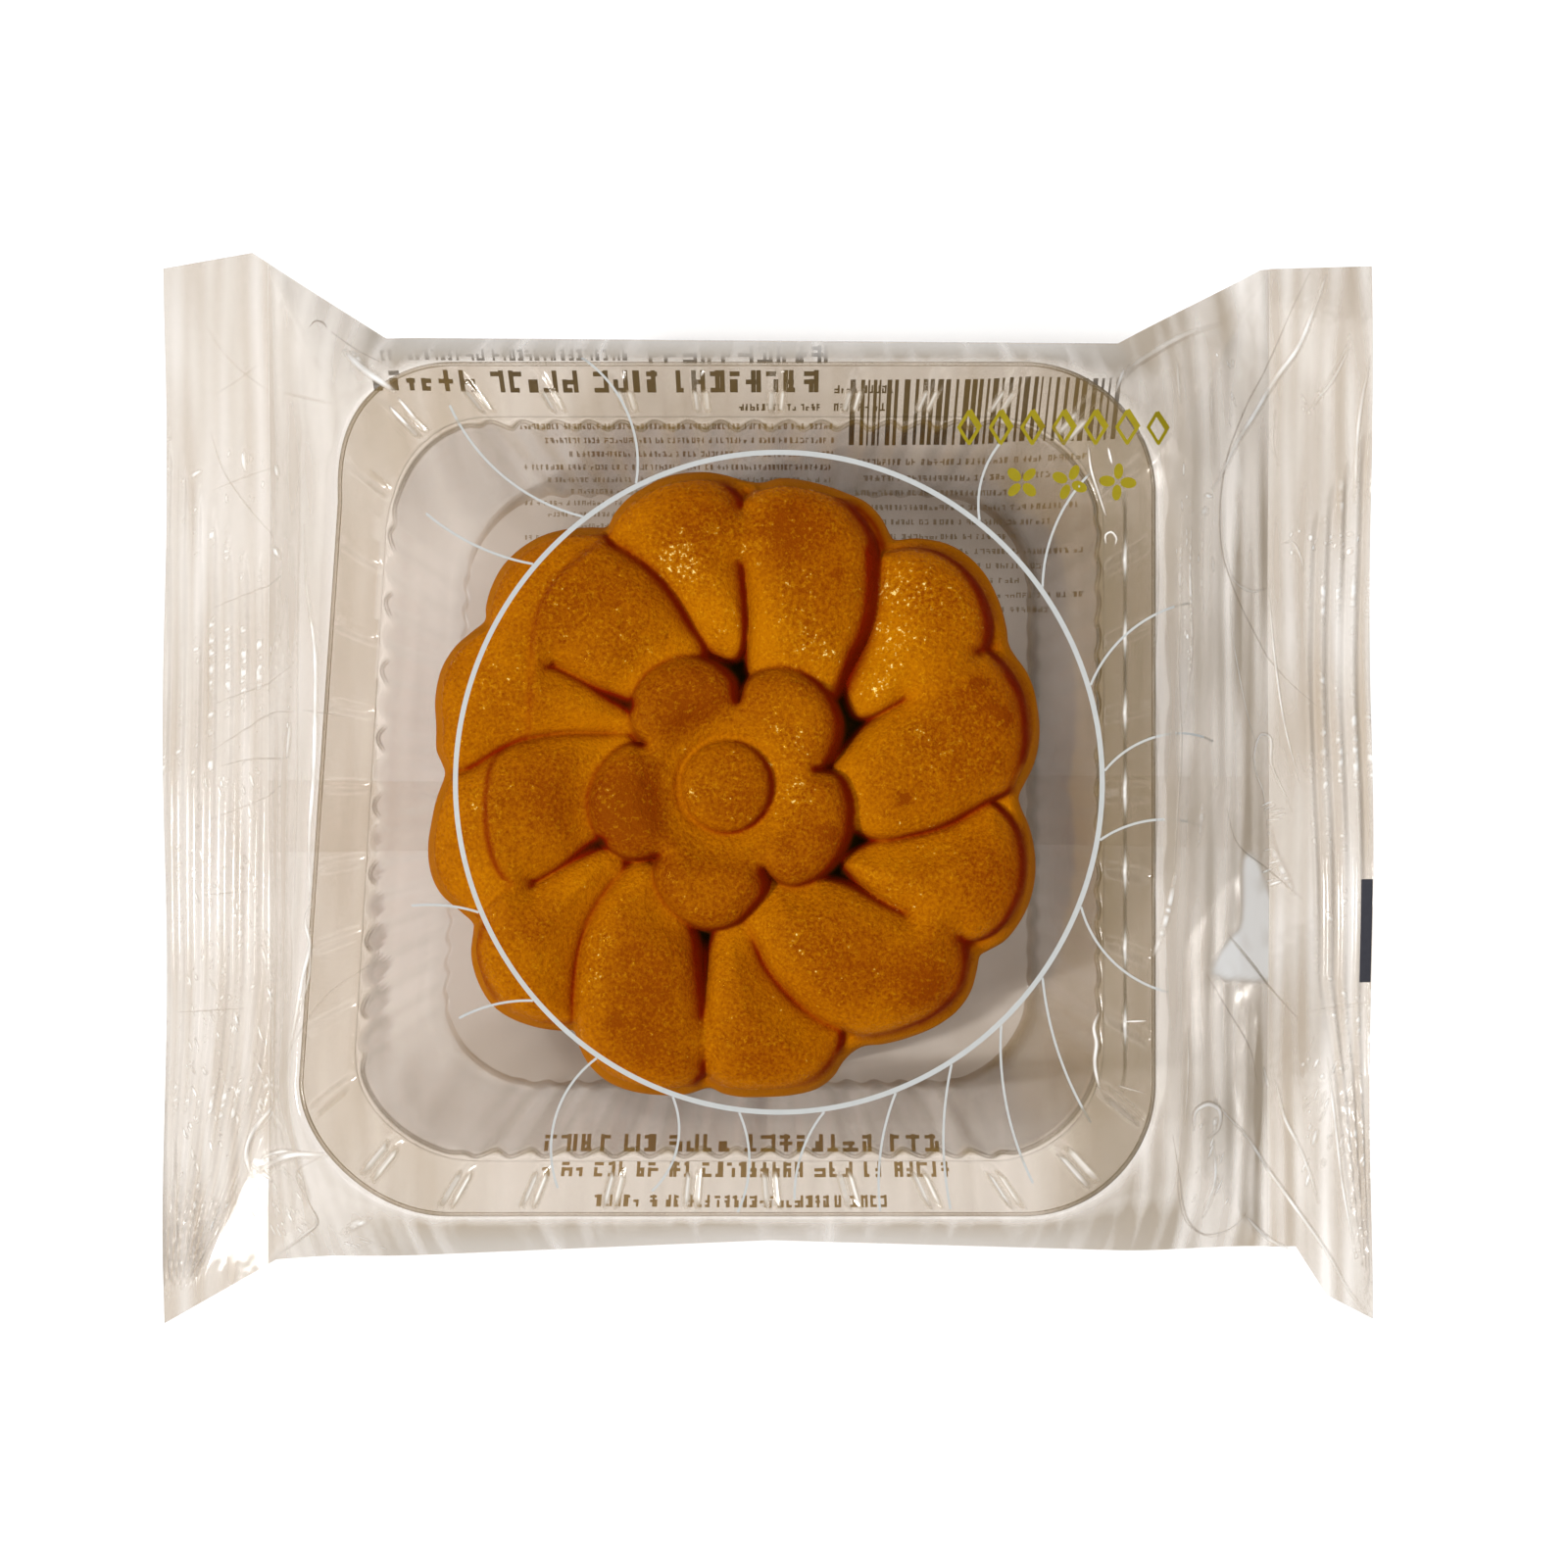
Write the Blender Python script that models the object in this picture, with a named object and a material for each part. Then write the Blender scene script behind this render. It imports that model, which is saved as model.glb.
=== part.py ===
"""A fruit and nut mooncake in its tray, sealed in a clear flow-wrap pillow bag.

The bag is one closed solid, out to the film. It lies on its back, +Z up, with the
long side of the bag along X. The origin is the middle of the underside.
Sizes below are in millimetres, and the mesh is written in metres.
"""

import math

import bpy

MM = 0.001

# The bag: its length from end to end, and the crimped band across each end.
BAG_LENGTH = 151.0
SEAL_BAND = 13.5
SEAL_THICKNESS = 0.9
CRIMP_PITCH = 1.8
CRIMP_DEPTH = 0.35

# The tray that the film lies on: its rim, and the smaller base that it stands on.
TRAY_X = -3.8
RIM_HEIGHT = 33.8
RIM_HALF = (49.5, 50.3)
RIM_CORNER = 15.5
BASE_HALF = (39.5, 40.5)
BASE_CORNER = 14.0

# The tray is a little bent: its left side slants, by this much each way at these heights in plan.
SPLAY = 2.3
SPLAY_MOST_AT = 34.0
SPLAY_GONE_AT = 54.0

# The cake lifts the film a little above the rim, inside a shallow dip behind the rim.
CAKE_X = -4.9
CAKE_CROWN = 2.6
CAKE_RADIUS = 35.0
CROWN_EDGE = 13.0
DIP_DEPTH = 0.5
DIP_WIDTH = 12.0

# The side fold of the film, where the front meets the back. It drops to the end seals.
SIDE_FOLD_HEIGHT = 21.0
SIDE_FOLD_END = 42.0
SEAL_HEIGHT_LEFT = (17.0, 14.0)
SEAL_HEIGHT_RIGHT = (15.0, 11.5)
SEAL_WAVE = 1.1
SEAL_WAVE_LENGTH = 62.0
EDGE_THICKNESS = 0.9

# How full the film is between the tray and its own edge: 1 is a straight slope.
FRONT_FULLNESS = 1.35
BACK_FULLNESS = 1.25

# The bag from above. The ends stand out in ears, where the flat tube is widest.
HALF_LENGTH = BAG_LENGTH / 2
SEAL_INNER = HALF_LENGTH - SEAL_BAND
UPPER_EDGE = (
    (-HALF_LENGTH, 64.9),
    (-64.0, 66.4),
    (-47.0, 55.3),
    (42.5, 54.6),
    (61.0, 64.7),
    (HALF_LENGTH, 65.8),
)
LOWER_EDGE = (
    (-HALF_LENGTH, -66.4),
    (-61.0, -57.9),
    (-54.0, -57.2),
    (0.0, -54.9),
    (65.5, -56.8),
    (69.5, -63.0),
    (HALF_LENGTH, -66.2),
)

# The grid of points: its steps on the slopes and corners, and over the middle of the tray.
SLOPE_STEP = 2.4
TRAY_STEP = 6.0
SLOPE_COLUMNS = 6

FILM_COLOUR = (0.87, 0.85, 0.81, 1.0)
FILM_ROUGHNESS = 0.18


def clamp(value, low=0.0, high=1.0):
    return max(low, min(high, value))


def smooth(share):
    """A soft step from 0 to 1."""
    share = clamp(share)
    return share * share * (3 - 2 * share)


def mix(first, second, share):
    return first + (second - first) * share


def edge_at(outline, x):
    """The height in plan of an outline's chain of corners at x."""
    for (x0, y0), (x1, y1) in zip(outline, outline[1:]):
        if x <= x1:
            return mix(y0, y1, clamp((x - x0) / (x1 - x0)))
    return outline[-1][1]


def outside_round_square(x, y, half, corner):
    """How far a point lies outside a square with round corners, and below 0 inside it."""
    over_x = abs(x) - half[0] + corner
    over_y = abs(y) - half[1] + corner
    beyond = math.hypot(max(over_x, 0.0), max(over_y, 0.0))
    return beyond + min(max(over_x, over_y), 0.0) - corner


def distance_to_segment(x, y, start, end):
    run = (end[0] - start[0], end[1] - start[1])
    length = run[0] ** 2 + run[1] ** 2
    share = clamp(((x - start[0]) * run[0] + (y - start[1]) * run[1]) / length)
    return math.hypot(x - start[0] - run[0] * share, y - start[1] - run[1] * share)


def room_to_edge(x, y):
    """How far a point lies from the free edge of the film or the inner line of a seal."""
    if abs(x) >= SEAL_INNER:
        return 0.0
    nearest = SEAL_INNER - abs(x)
    for outline in (UPPER_EDGE, LOWER_EDGE):
        for start, end in zip(outline, outline[1:]):
            nearest = min(nearest, distance_to_segment(x, y, start, end))
    return nearest


def splay(x, y):
    """How far to the right the bent tray pushes a point at its left side."""
    rim_left = TRAY_X - RIM_HALF[0]
    across = min(clamp((TRAY_X - x) / RIM_HALF[0]), clamp((x + SEAL_INNER) / (rim_left + SEAL_INNER)))
    fade = 1 - smooth((abs(y) - SPLAY_MOST_AT) / (SPLAY_GONE_AT - SPLAY_MOST_AT))
    return SPLAY * across * fade * clamp(y / SPLAY_MOST_AT, -1.0, 1.0)


def seal_height(x, y):
    """The middle of the seal bands, which droop outwards and wave along their length."""
    inner, outer = SEAL_HEIGHT_LEFT if x < 0 else SEAL_HEIGHT_RIGHT
    droop = clamp((abs(x) - SEAL_INNER) / SEAL_BAND)
    wave = math.sin(2 * math.pi * y / SEAL_WAVE_LENGTH + (0.8 if x < 0 else 2.3))
    return mix(inner, outer, droop) + SEAL_WAVE * wave * mix(0.5, 1.0, droop)


def fold_height(x, y):
    """The height of the film's own edge: the side fold, and the seals at the ends."""
    to_seal = smooth((abs(x) - SIDE_FOLD_END) / (SEAL_INNER - SIDE_FOLD_END))
    return mix(SIDE_FOLD_HEIGHT, seal_height(x, y), to_seal)


def crimp(x):
    """The ridges pressed across a seal band, up and down in turn."""
    turn = math.cos(2 * math.pi * (HALF_LENGTH - abs(x)) / CRIMP_PITCH)
    return CRIMP_DEPTH * turn * smooth((abs(x) - SEAL_INNER) / CRIMP_PITCH)


def tray_cover_height(x, y):
    """The film over the tray: flat on the rim, dipped behind it and lifted by the cake."""
    inside = -outside_round_square(x - TRAY_X, y, RIM_HALF, RIM_CORNER)
    dip = DIP_DEPTH * smooth(inside / DIP_WIDTH)
    from_cake = math.hypot(x - CAKE_X, y) - CAKE_RADIUS
    crown = CAKE_CROWN * smooth(-from_cake / CROWN_EDGE)
    return RIM_HEIGHT - dip + crown


def front_height(x, y):
    """The front of the bag: over the tray, then down to the side fold and the seals."""
    outside = outside_round_square(x - TRAY_X, y, RIM_HALF, RIM_CORNER)
    if outside <= 0:
        return tray_cover_height(x, y)
    share = outside / (outside + room_to_edge(x, y) + 1e-9)
    top = fold_height(x, y) + EDGE_THICKNESS / 2
    return mix(RIM_HEIGHT, top, share**FRONT_FULLNESS)


def back_height(x, y):
    """The back of the bag: flat under the tray, then up to the side fold and the seals."""
    outside = outside_round_square(x - TRAY_X, y, BASE_HALF, BASE_CORNER)
    if outside <= 0:
        return 0.0
    share = outside / (outside + room_to_edge(x, y) + 1e-9)
    bottom = fold_height(x, y) - EDGE_THICKNESS / 2
    return mix(0.0, bottom, share**BACK_FULLNESS)


def spaced(start, end, count):
    """Evenly spaced numbers from start up to, and not with, end."""
    return [mix(start, end, i / count) for i in range(count)]


def chain(stops):
    """Numbers that pass through each stop, with a count of steps after each but the last."""
    numbers = []
    for (start, count), (end, _) in zip(stops, stops[1:]):
        numbers += spaced(start, end, count)
    return numbers + [stops[-1][0]]


def steps(length, step):
    return max(1, round(length / step))


def stations():
    """Places along the bag, with one on each ridge of a crimp and on the tray's edges."""
    crimps = steps(SEAL_BAND, CRIMP_PITCH / 2)
    slope = steps(RIM_HALF[0] - BASE_HALF[0], SLOPE_STEP)
    corner = steps(RIM_CORNER, SLOPE_STEP) - slope
    middle = steps(2 * (RIM_HALF[0] - RIM_CORNER), TRAY_STEP)
    return chain((
        (-HALF_LENGTH, crimps),
        (-SEAL_INNER, steps(SEAL_INNER + TRAY_X - RIM_HALF[0], SLOPE_STEP)),
        (TRAY_X - RIM_HALF[0], slope),
        (TRAY_X - BASE_HALF[0], corner),
        (TRAY_X - RIM_HALF[0] + RIM_CORNER, middle),
        (TRAY_X + RIM_HALF[0] - RIM_CORNER, corner),
        (TRAY_X + BASE_HALF[0], slope),
        (TRAY_X + RIM_HALF[0], steps(SEAL_INNER - TRAY_X - RIM_HALF[0], SLOPE_STEP)),
        (SEAL_INNER, crimps),
        (HALF_LENGTH, 0),
    ))


def columns(x):
    """Places across the bag at x, with one on each straight edge of the tray."""
    slope = steps(RIM_HALF[1] - BASE_HALF[1], SLOPE_STEP)
    corner = steps(RIM_CORNER, SLOPE_STEP) - slope
    middle = steps(2 * (RIM_HALF[1] - RIM_CORNER), TRAY_STEP)
    return chain((
        (edge_at(LOWER_EDGE, x), SLOPE_COLUMNS),
        (-RIM_HALF[1], slope),
        (-BASE_HALF[1], corner),
        (RIM_CORNER - RIM_HALF[1], middle),
        (RIM_HALF[1] - RIM_CORNER, corner),
        (BASE_HALF[1], slope),
        (RIM_HALF[1], SLOPE_COLUMNS),
        (edge_at(UPPER_EDGE, x), 0),
    ))


def bag_mesh():
    """Two sheets of points, front and back, joined by a narrow strip all round."""
    points = []
    along = stations()
    across = len(columns(0.0))
    for surface, side in ((front_height, 1), (back_height, -1)):
        for x in along:
            for y in columns(x):
                z = surface(x, y)
                if abs(x) >= SEAL_INNER:
                    z = seal_height(x, y) + side * SEAL_THICKNESS / 2 + crimp(x)
                points.append(((x + splay(x, y)) * MM, y * MM, z * MM))
    back = len(along) * across

    def front_point(i, j):
        return i * across + j

    faces = []
    last_along, last_across = len(along) - 1, across - 1
    for i in range(last_along):
        for j in range(last_across):
            a, b = front_point(i, j), front_point(i + 1, j)
            faces.append((a, b, b + 1, a + 1))
            faces.append((back + a, back + a + 1, back + b + 1, back + b))
    rim = [front_point(0, j) for j in range(last_across, 0, -1)]
    rim += [front_point(i, 0) for i in range(last_along)]
    rim += [front_point(last_along, j) for j in range(last_across)]
    rim += [front_point(i, last_across) for i in range(last_along, 0, -1)]
    for a, b in zip(rim, rim[1:] + rim[:1]):
        faces.append((b, a, back + a, back + b))
    return points, faces


def film_material():
    material = bpy.data.materials.new("clear_film")
    material.use_nodes = True
    shader = material.node_tree.nodes["Principled BSDF"]
    shader.inputs["Base Color"].default_value = FILM_COLOUR
    shader.inputs["Roughness"].default_value = FILM_ROUGHNESS
    shader.inputs["Metallic"].default_value = 0.0
    return material


def make_sealed_bag():
    """The sealed bag as one solid, with its tray and cake inside."""
    points, faces = bag_mesh()
    mesh = bpy.data.meshes.new("sealed_bag")
    mesh.from_pydata(points, [], faces)
    mesh.validate()
    mesh.materials.append(film_material())
    mesh.shade_smooth()
    mesh.set_sharp_from_angle(angle=math.radians(50))
    bag = bpy.data.objects.new("sealed_bag", mesh)
    bpy.context.scene.collection.objects.link(bag)
    return bag


def main():
    for old in list(bpy.data.objects):
        bpy.data.objects.remove(old)
    make_sealed_bag()


main()
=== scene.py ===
"""The looks of a flower-moulded mooncake in a clear tray, sealed in a clear film bag.

Sizes are in millimetres unless a name says otherwise, and meshes are written in metres.
The bag lies front up, with its long side along X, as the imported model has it.
"""

import logging
import math
from collections.abc import Callable, Iterable, Sequence
from dataclasses import dataclass
from enum import Enum
from typing import ClassVar

import bpy
import numpy as np
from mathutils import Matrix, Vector, noise


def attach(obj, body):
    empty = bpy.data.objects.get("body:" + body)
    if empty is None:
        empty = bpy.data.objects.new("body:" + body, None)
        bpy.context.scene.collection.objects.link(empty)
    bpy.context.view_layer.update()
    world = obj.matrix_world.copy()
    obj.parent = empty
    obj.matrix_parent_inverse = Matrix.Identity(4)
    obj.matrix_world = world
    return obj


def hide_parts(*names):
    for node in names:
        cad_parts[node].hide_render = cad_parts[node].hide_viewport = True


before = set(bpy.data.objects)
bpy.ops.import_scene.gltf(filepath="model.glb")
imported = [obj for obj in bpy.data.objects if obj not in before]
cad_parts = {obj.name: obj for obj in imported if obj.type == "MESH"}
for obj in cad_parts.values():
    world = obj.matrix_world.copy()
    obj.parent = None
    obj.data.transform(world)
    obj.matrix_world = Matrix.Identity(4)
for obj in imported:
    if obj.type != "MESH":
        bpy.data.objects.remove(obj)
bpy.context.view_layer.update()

MM = 0.001
NODE = "sealed_bag"
BODY = "root"

log = logging.getLogger("mooncake_pack")

Array = np.ndarray
Colour = tuple[float, float, float]
Point = tuple[float, float]


def mix(first: Array | float, second: Array | float, share: Array | float) -> Array | float:
    """Blend two values by a share from 0 to 1."""
    return first + (second - first) * share


def smooth(share: Array | float) -> Array:
    """Give a soft step from 0 to 1."""
    share = np.clip(share, 0.0, 1.0)
    return share * share * (3 - 2 * share)


def window(value: Array, start: float, end: float) -> Array:
    """Give a soft step that goes from 0 at start to 1 at end."""
    return smooth((value - start) / (end - start))


def soft_max(first: Array, second: Array, width: Array | float) -> Array:
    """Take the larger of two fields, with the join between them rounded over a width."""
    near = np.clip(1 - np.abs(first - second) / width, 0.0, None)
    return np.maximum(first, second) + near * near * width / 4


def bell(value: Array, width: float) -> Array:
    """Give a soft bump of height 1 around 0, about a width wide each way."""
    return np.exp(-((value / width) ** 2))


def as_points(x: Array, y: Array, z: Array) -> Array:
    """Give points as rows of three numbers."""
    return np.stack([x, y, z], axis=-1).reshape(-1, 3)


def lumps(x: Array, y: Array, size: float, seed: float = 0.0) -> Array:
    """Give smooth noise between about -1 and 1 over points in plan.

    Args:
        x: The points' places along X.
        y: The points' places along Y.
        size: How far apart the lumps are.
        seed: Which slice of the noise to take.

    Returns:
        One value for each point.
    """
    flat = [noise.noise((a / size, b / size, seed)) for a, b in zip(x.ravel(), y.ravel())]
    return np.array(flat).reshape(x.shape)


def segment_distance(x: Array, y: Array, start: Point, end: Point) -> tuple[Array, Array]:
    """Measure points against a straight line between two points.

    Args:
        x: The points' places along X.
        y: The points' places along Y.
        start: Where the line starts.
        end: Where it ends.

    Returns:
        Each point's distance from the line, and how far along the line it lies, from 0 to 1.
    """
    run = (end[0] - start[0], end[1] - start[1])
    share = ((x - start[0]) * run[0] + (y - start[1]) * run[1]) / (run[0] ** 2 + run[1] ** 2)
    share = np.clip(share, 0.0, 1.0)
    return np.hypot(x - start[0] - run[0] * share, y - start[1] - run[1] * share), share


@dataclass(frozen=True)
class Wire:
    """An output of a shader node, which Python's own operators do sums with."""

    graph: "Graph"
    socket: bpy.types.NodeSocket

    def __add__(self, other: "Wire | float") -> "Wire":
        """Add a value."""
        return self.graph.maths("ADD", self, other)

    def __radd__(self, other: float) -> "Wire":
        """Add to a value."""
        return self.graph.maths("ADD", other, self)

    def __sub__(self, other: "Wire | float") -> "Wire":
        """Take a value away."""
        return self.graph.maths("SUBTRACT", self, other)

    def __rsub__(self, other: float) -> "Wire":
        """Take this away from a value."""
        return self.graph.maths("SUBTRACT", other, self)

    def __mul__(self, other: "Wire | float") -> "Wire":
        """Multiply by a value."""
        return self.graph.maths("MULTIPLY", self, other)

    def __rmul__(self, other: float) -> "Wire":
        """Multiply a value."""
        return self.graph.maths("MULTIPLY", other, self)

    def __pow__(self, other: float) -> "Wire":
        """Raise to a power."""
        return self.graph.maths("POWER", self, other)

    def held(self) -> "Wire":
        """Hold the value between 0 and 1."""
        return self.graph.maths("ADD", self, 0.0, clamp=True)


class Graph:
    """The shader nodes of a material or a world."""

    def __init__(self, owner: bpy.types.Material | bpy.types.World) -> None:
        """Start with no nodes in the material or world."""
        self.owner = owner
        owner.use_nodes = True
        self.tree = owner.node_tree
        self.tree.nodes.clear()

    @classmethod
    def for_material(cls, name: str) -> "Graph":
        """Start an empty material of a name."""
        return cls(bpy.data.materials.new(name))

    def node(
        self,
        kind: str,
        settings: dict[str, object] | None = None,
        inputs: dict[str | int, object] | None = None,
        output: str | int = 0,
    ) -> Wire:
        """Add a node, set it up and link it.

        Args:
            kind: The node's type, such as ShaderNodeMath.
            settings: The node's own settings, which are set first.
            inputs: Values or wires by the name or number of the input.
            output: The name or number of the output to give back.

        Returns:
            The output as a wire.
        """
        node = self.tree.nodes.new(kind)
        for name, value in (settings or {}).items():
            setattr(node, name, value)
        for name, value in (inputs or {}).items():
            if isinstance(value, Wire):
                self.tree.links.new(value.socket, node.inputs[name])
            elif isinstance(value, tuple) and node.inputs[name].type == "RGBA":
                node.inputs[name].default_value = (*value, 1.0)
            else:
                node.inputs[name].default_value = value
        return Wire(self, node.outputs[output] if node.outputs else None)

    def maths(self, operation: str, first: Wire | float, second: Wire | float, clamp: bool = False) -> Wire:
        """Add a Math node.

        Args:
            operation: Which sum it does.
            first: The first value.
            second: The second value.
            clamp: Whether the result is held between 0 and 1.

        Returns:
            The result.
        """
        return self.node(
            "ShaderNodeMath", {"operation": operation, "use_clamp": clamp}, {0: first, 1: second}
        )

    def colour_mix(self, factor: Wire | float, first: Wire | Colour, second: Wire | Colour) -> Wire:
        """Blend two colours by a factor."""
        settings = {"data_type": "RGBA"}
        return self.node("ShaderNodeMix", settings, {0: factor, 6: first, 7: second}, output=2)

    def place(self) -> Wire:
        """Give the point's place on the object, in metres."""
        return self.node("ShaderNodeTexCoord", output="Object")

    def speckle(self, size: float, detail: float = 2.0, rough: float = 0.5) -> Wire:
        """Give noise from 0 to 1.

        Args:
            size: The distance between its lumps.
            detail: How many finer layers it has.
            rough: How strong those are.

        Returns:
            The noise.
        """
        inputs = {
            "Vector": self.place(), "Scale": 1 / (size * MM), "Detail": detail, "Roughness": rough,
        }
        return self.node("ShaderNodeTexNoise", None, inputs)

    def mark(self, name: str) -> Wire:
        """Give a value that the mesh holds at each point."""
        return self.node("ShaderNodeAttribute", {"attribute_name": name}, output="Fac")

    def bump(self, height: Wire, depth: float) -> Wire:
        """Turn a height from 0 to 1 into a bent normal, as deep as given."""
        inputs = {"Height": height, "Distance": depth * MM, "Strength": 1.0}
        return self.node("ShaderNodeBump", None, inputs)

    def shader_mix(self, factor: Wire | float, first: Wire, second: Wire) -> Wire:
        """Blend two shaders by a factor."""
        return self.node("ShaderNodeMixShader", None, {0: factor, 1: first, 2: second})

    def finish(self, surface: Wire) -> bpy.types.Material:
        """Link the surface to the output and give the material."""
        self.node("ShaderNodeOutputMaterial", None, {"Surface": surface})
        return self.owner


@dataclass(frozen=True)
class CrustFinish:
    """Baked crust: golden in the valleys, brown on the crests, with an egg-wash sheen, painted shade in its
    creases and holes, and painted glints.
    """

    golden: Colour = (0.462, 0.141, 0.0003)
    baked: Colour = (0.215, 0.031, 0.0002)
    # Painted shade: the dark red of creases and of slopes turned from the key light, then the black of deep
    # holes.
    dark: Colour = (0.19, 0.003, 0.0003)
    hole_shadow: Colour = (0.004, 0.0006, 0.0003)
    sheen: Colour = (1.0, 0.62, 0.02)
    # The next two colours are painted highlights: the egg wash's golden sheen and its glints.
    painted_gilt: Colour = (0.80, 0.36, 0.004)
    painted_glint: Colour = (1.0, 0.80, 0.30)
    blotch: float = 9.0
    mottle: float = 1.3
    bead: float = 0.5
    grain: float = 0.42
    grain_depth: float = 0.33
    reflection: float = 0.42

    def material(self) -> bpy.types.Material:
        """Make the crust's material."""
        graph = Graph.for_material("baked_crust")
        blotches = graph.speckle(self.blotch, 3.0, 0.6)
        mottle = graph.speckle(self.mottle, 4.0, 0.65)
        grain = graph.speckle(self.grain, 3.0, 0.6)
        browned = graph.mark("browned") + (blotches - 0.5) * 0.9 + (mottle - 0.5) * 0.7
        browned = browned + (0.5 - grain) * 1.7 + 0.2 * graph.mark("glaze_and_sparkle").held()
        colour = graph.colour_mix(browned.held(), self.golden, self.baked)
        # The mark read here is painted shade, in creases, holes and slopes turned from the light.
        shade = graph.mark("crease_shade") + (mottle - 0.5) * 0.25 * graph.mark("crease_shade")
        colour = graph.colour_mix(shade.held(), colour, self.dark)
        colour = graph.colour_mix((shade - 1.0).held(), colour, self.hole_shadow)
        height = grain * 0.55 + mottle * 0.45
        wet = ((0.7 * grain + 1.1 * mottle - 0.98) * 8.0).held()
        # Painted highlights go where this noise is high, most in the glazed spots.
        sparkle_beads = graph.speckle(self.bead, 2.0, 0.6) + 0.6 * mottle + 0.18 * graph.mark("glaze_and_sparkle")
        bare = 1.0 - shade.held()
        colour = graph.colour_mix(((sparkle_beads - 0.88) * 3.0).held() * bare * 0.45, colour, self.painted_gilt)
        colour = graph.colour_mix(((sparkle_beads - 1.1) * 9.0).held() * bare, colour, self.painted_glint)
        matt = (shade - 0.25 * graph.mark("glaze_and_sparkle")).held()
        return graph.finish(graph.node("ShaderNodeBsdfPrincipled", None, {
            "Base Color": colour,
            "Roughness": 0.6 + 0.4 * matt - 0.45 * wet * (1.0 - matt),
            "Specular IOR Level": self.reflection,
            "Specular Tint": self.sheen,
            "Normal": graph.bump(height, self.grain_depth),
        }))


@dataclass(frozen=True)
class ClearFinish:
    """Clear plastic: see-through, with a veil, gloss, and a painted highlight and painted shade along its
    folds.

    The mesh holds four marks at its points: the share of the veil, which in places is painted
    shade, how much of the gloss there is, and the shares of a fold's painted highlight and of its painted
    shade.
    """

    name: str
    passes: Colour
    # The veil is the plastic's haze; where it is heavier in places it is painted shade.
    veil_colour: Colour = (0.46, 0.38, 0.29)
    # The next two colours are painted: a highlight on each fold and the shade beside it.
    glint_colour: Colour = (0.97, 0.96, 0.94)
    painted_shade_colour: Colour = (0.14, 0.10, 0.07)
    gloss: float = 0.04
    edge_gloss: float = 0.6
    roughness: float = 0.08

    def material(self) -> bpy.types.Material:
        """Make the plastic's material."""
        graph = Graph.for_material(self.name)
        facing = graph.node("ShaderNodeLayerWeight", None, {"Blend": 0.5}, "Facing")
        veil_and_shade, glint, line = graph.mark("veil_and_shade"), graph.mark("glint"), graph.mark("line")
        colour = graph.colour_mix(line.held(), self.veil_colour, self.painted_shade_colour)
        colour = graph.colour_mix(glint.held(), colour, self.glint_colour)
        body = graph.node("ShaderNodeBsdfPrincipled", None, {
            "Base Color": colour, "Roughness": 0.5, "Specular IOR Level": 0.0,
        })
        clear = graph.node("ShaderNodeBsdfTransparent", None, {"Color": self.passes})
        shown = veil_and_shade + veil_and_shade * facing**3.0 + glint + line
        veiled = graph.shader_mix(shown.held(), clear, body)
        shine = graph.node("ShaderNodeBsdfGlossy", None, {
            "Color": (1.0, 1.0, 1.0), "Roughness": self.roughness,
        })
        mirrored = (self.gloss + self.edge_gloss * facing**5.0) * graph.mark("gloss")
        return graph.finish(graph.shader_mix(mirrored.held(), veiled, shine))


@dataclass(frozen=True)
class InkFinish:
    """Ink printed on the film: one colour, a little uneven."""

    name: str
    colour: Colour
    weak: Colour
    roughness: float = 0.5

    def material(self) -> bpy.types.Material:
        """Make the ink's material."""
        graph = Graph.for_material(self.name)
        uneven = graph.speckle(0.8, 3.0)
        return graph.finish(graph.node("ShaderNodeBsdfPrincipled", None, {
            "Base Color": graph.colour_mix(uneven, self.colour, self.weak),
            "Roughness": self.roughness + 0.2 * (uneven - 0.5), "Specular IOR Level": 0.15,
        }))


class Slot(Enum):
    """The record's material slots."""

    FILM = "clear_film"
    TRAY = "clear_tray"
    CRUST = "baked_crust"
    WHITE = "white_print"
    GOLD = "gold_print"
    DARK = "dark_print"


def grid_faces(rows: int, columns: int, closed: bool = False) -> Array:
    """Join a grid of points into four-sided faces.

    Args:
        rows: How many rows of points there are.
        columns: How many points a row has.
        closed: Whether each row's last point joins its first.

    Returns:
        The faces as rows of four point numbers, wound so that they face up when rows run
        along X and columns along Y.
    """
    row = np.arange(rows - 1)[:, None]
    column = np.arange(columns if closed else columns - 1)[None, :]
    beside = (column + 1) % columns
    corners = (row * columns + column, (row + 1) * columns + column,
               (row + 1) * columns + beside, row * columns + beside)
    return np.stack([c.ravel() for c in corners], axis=1)


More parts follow.
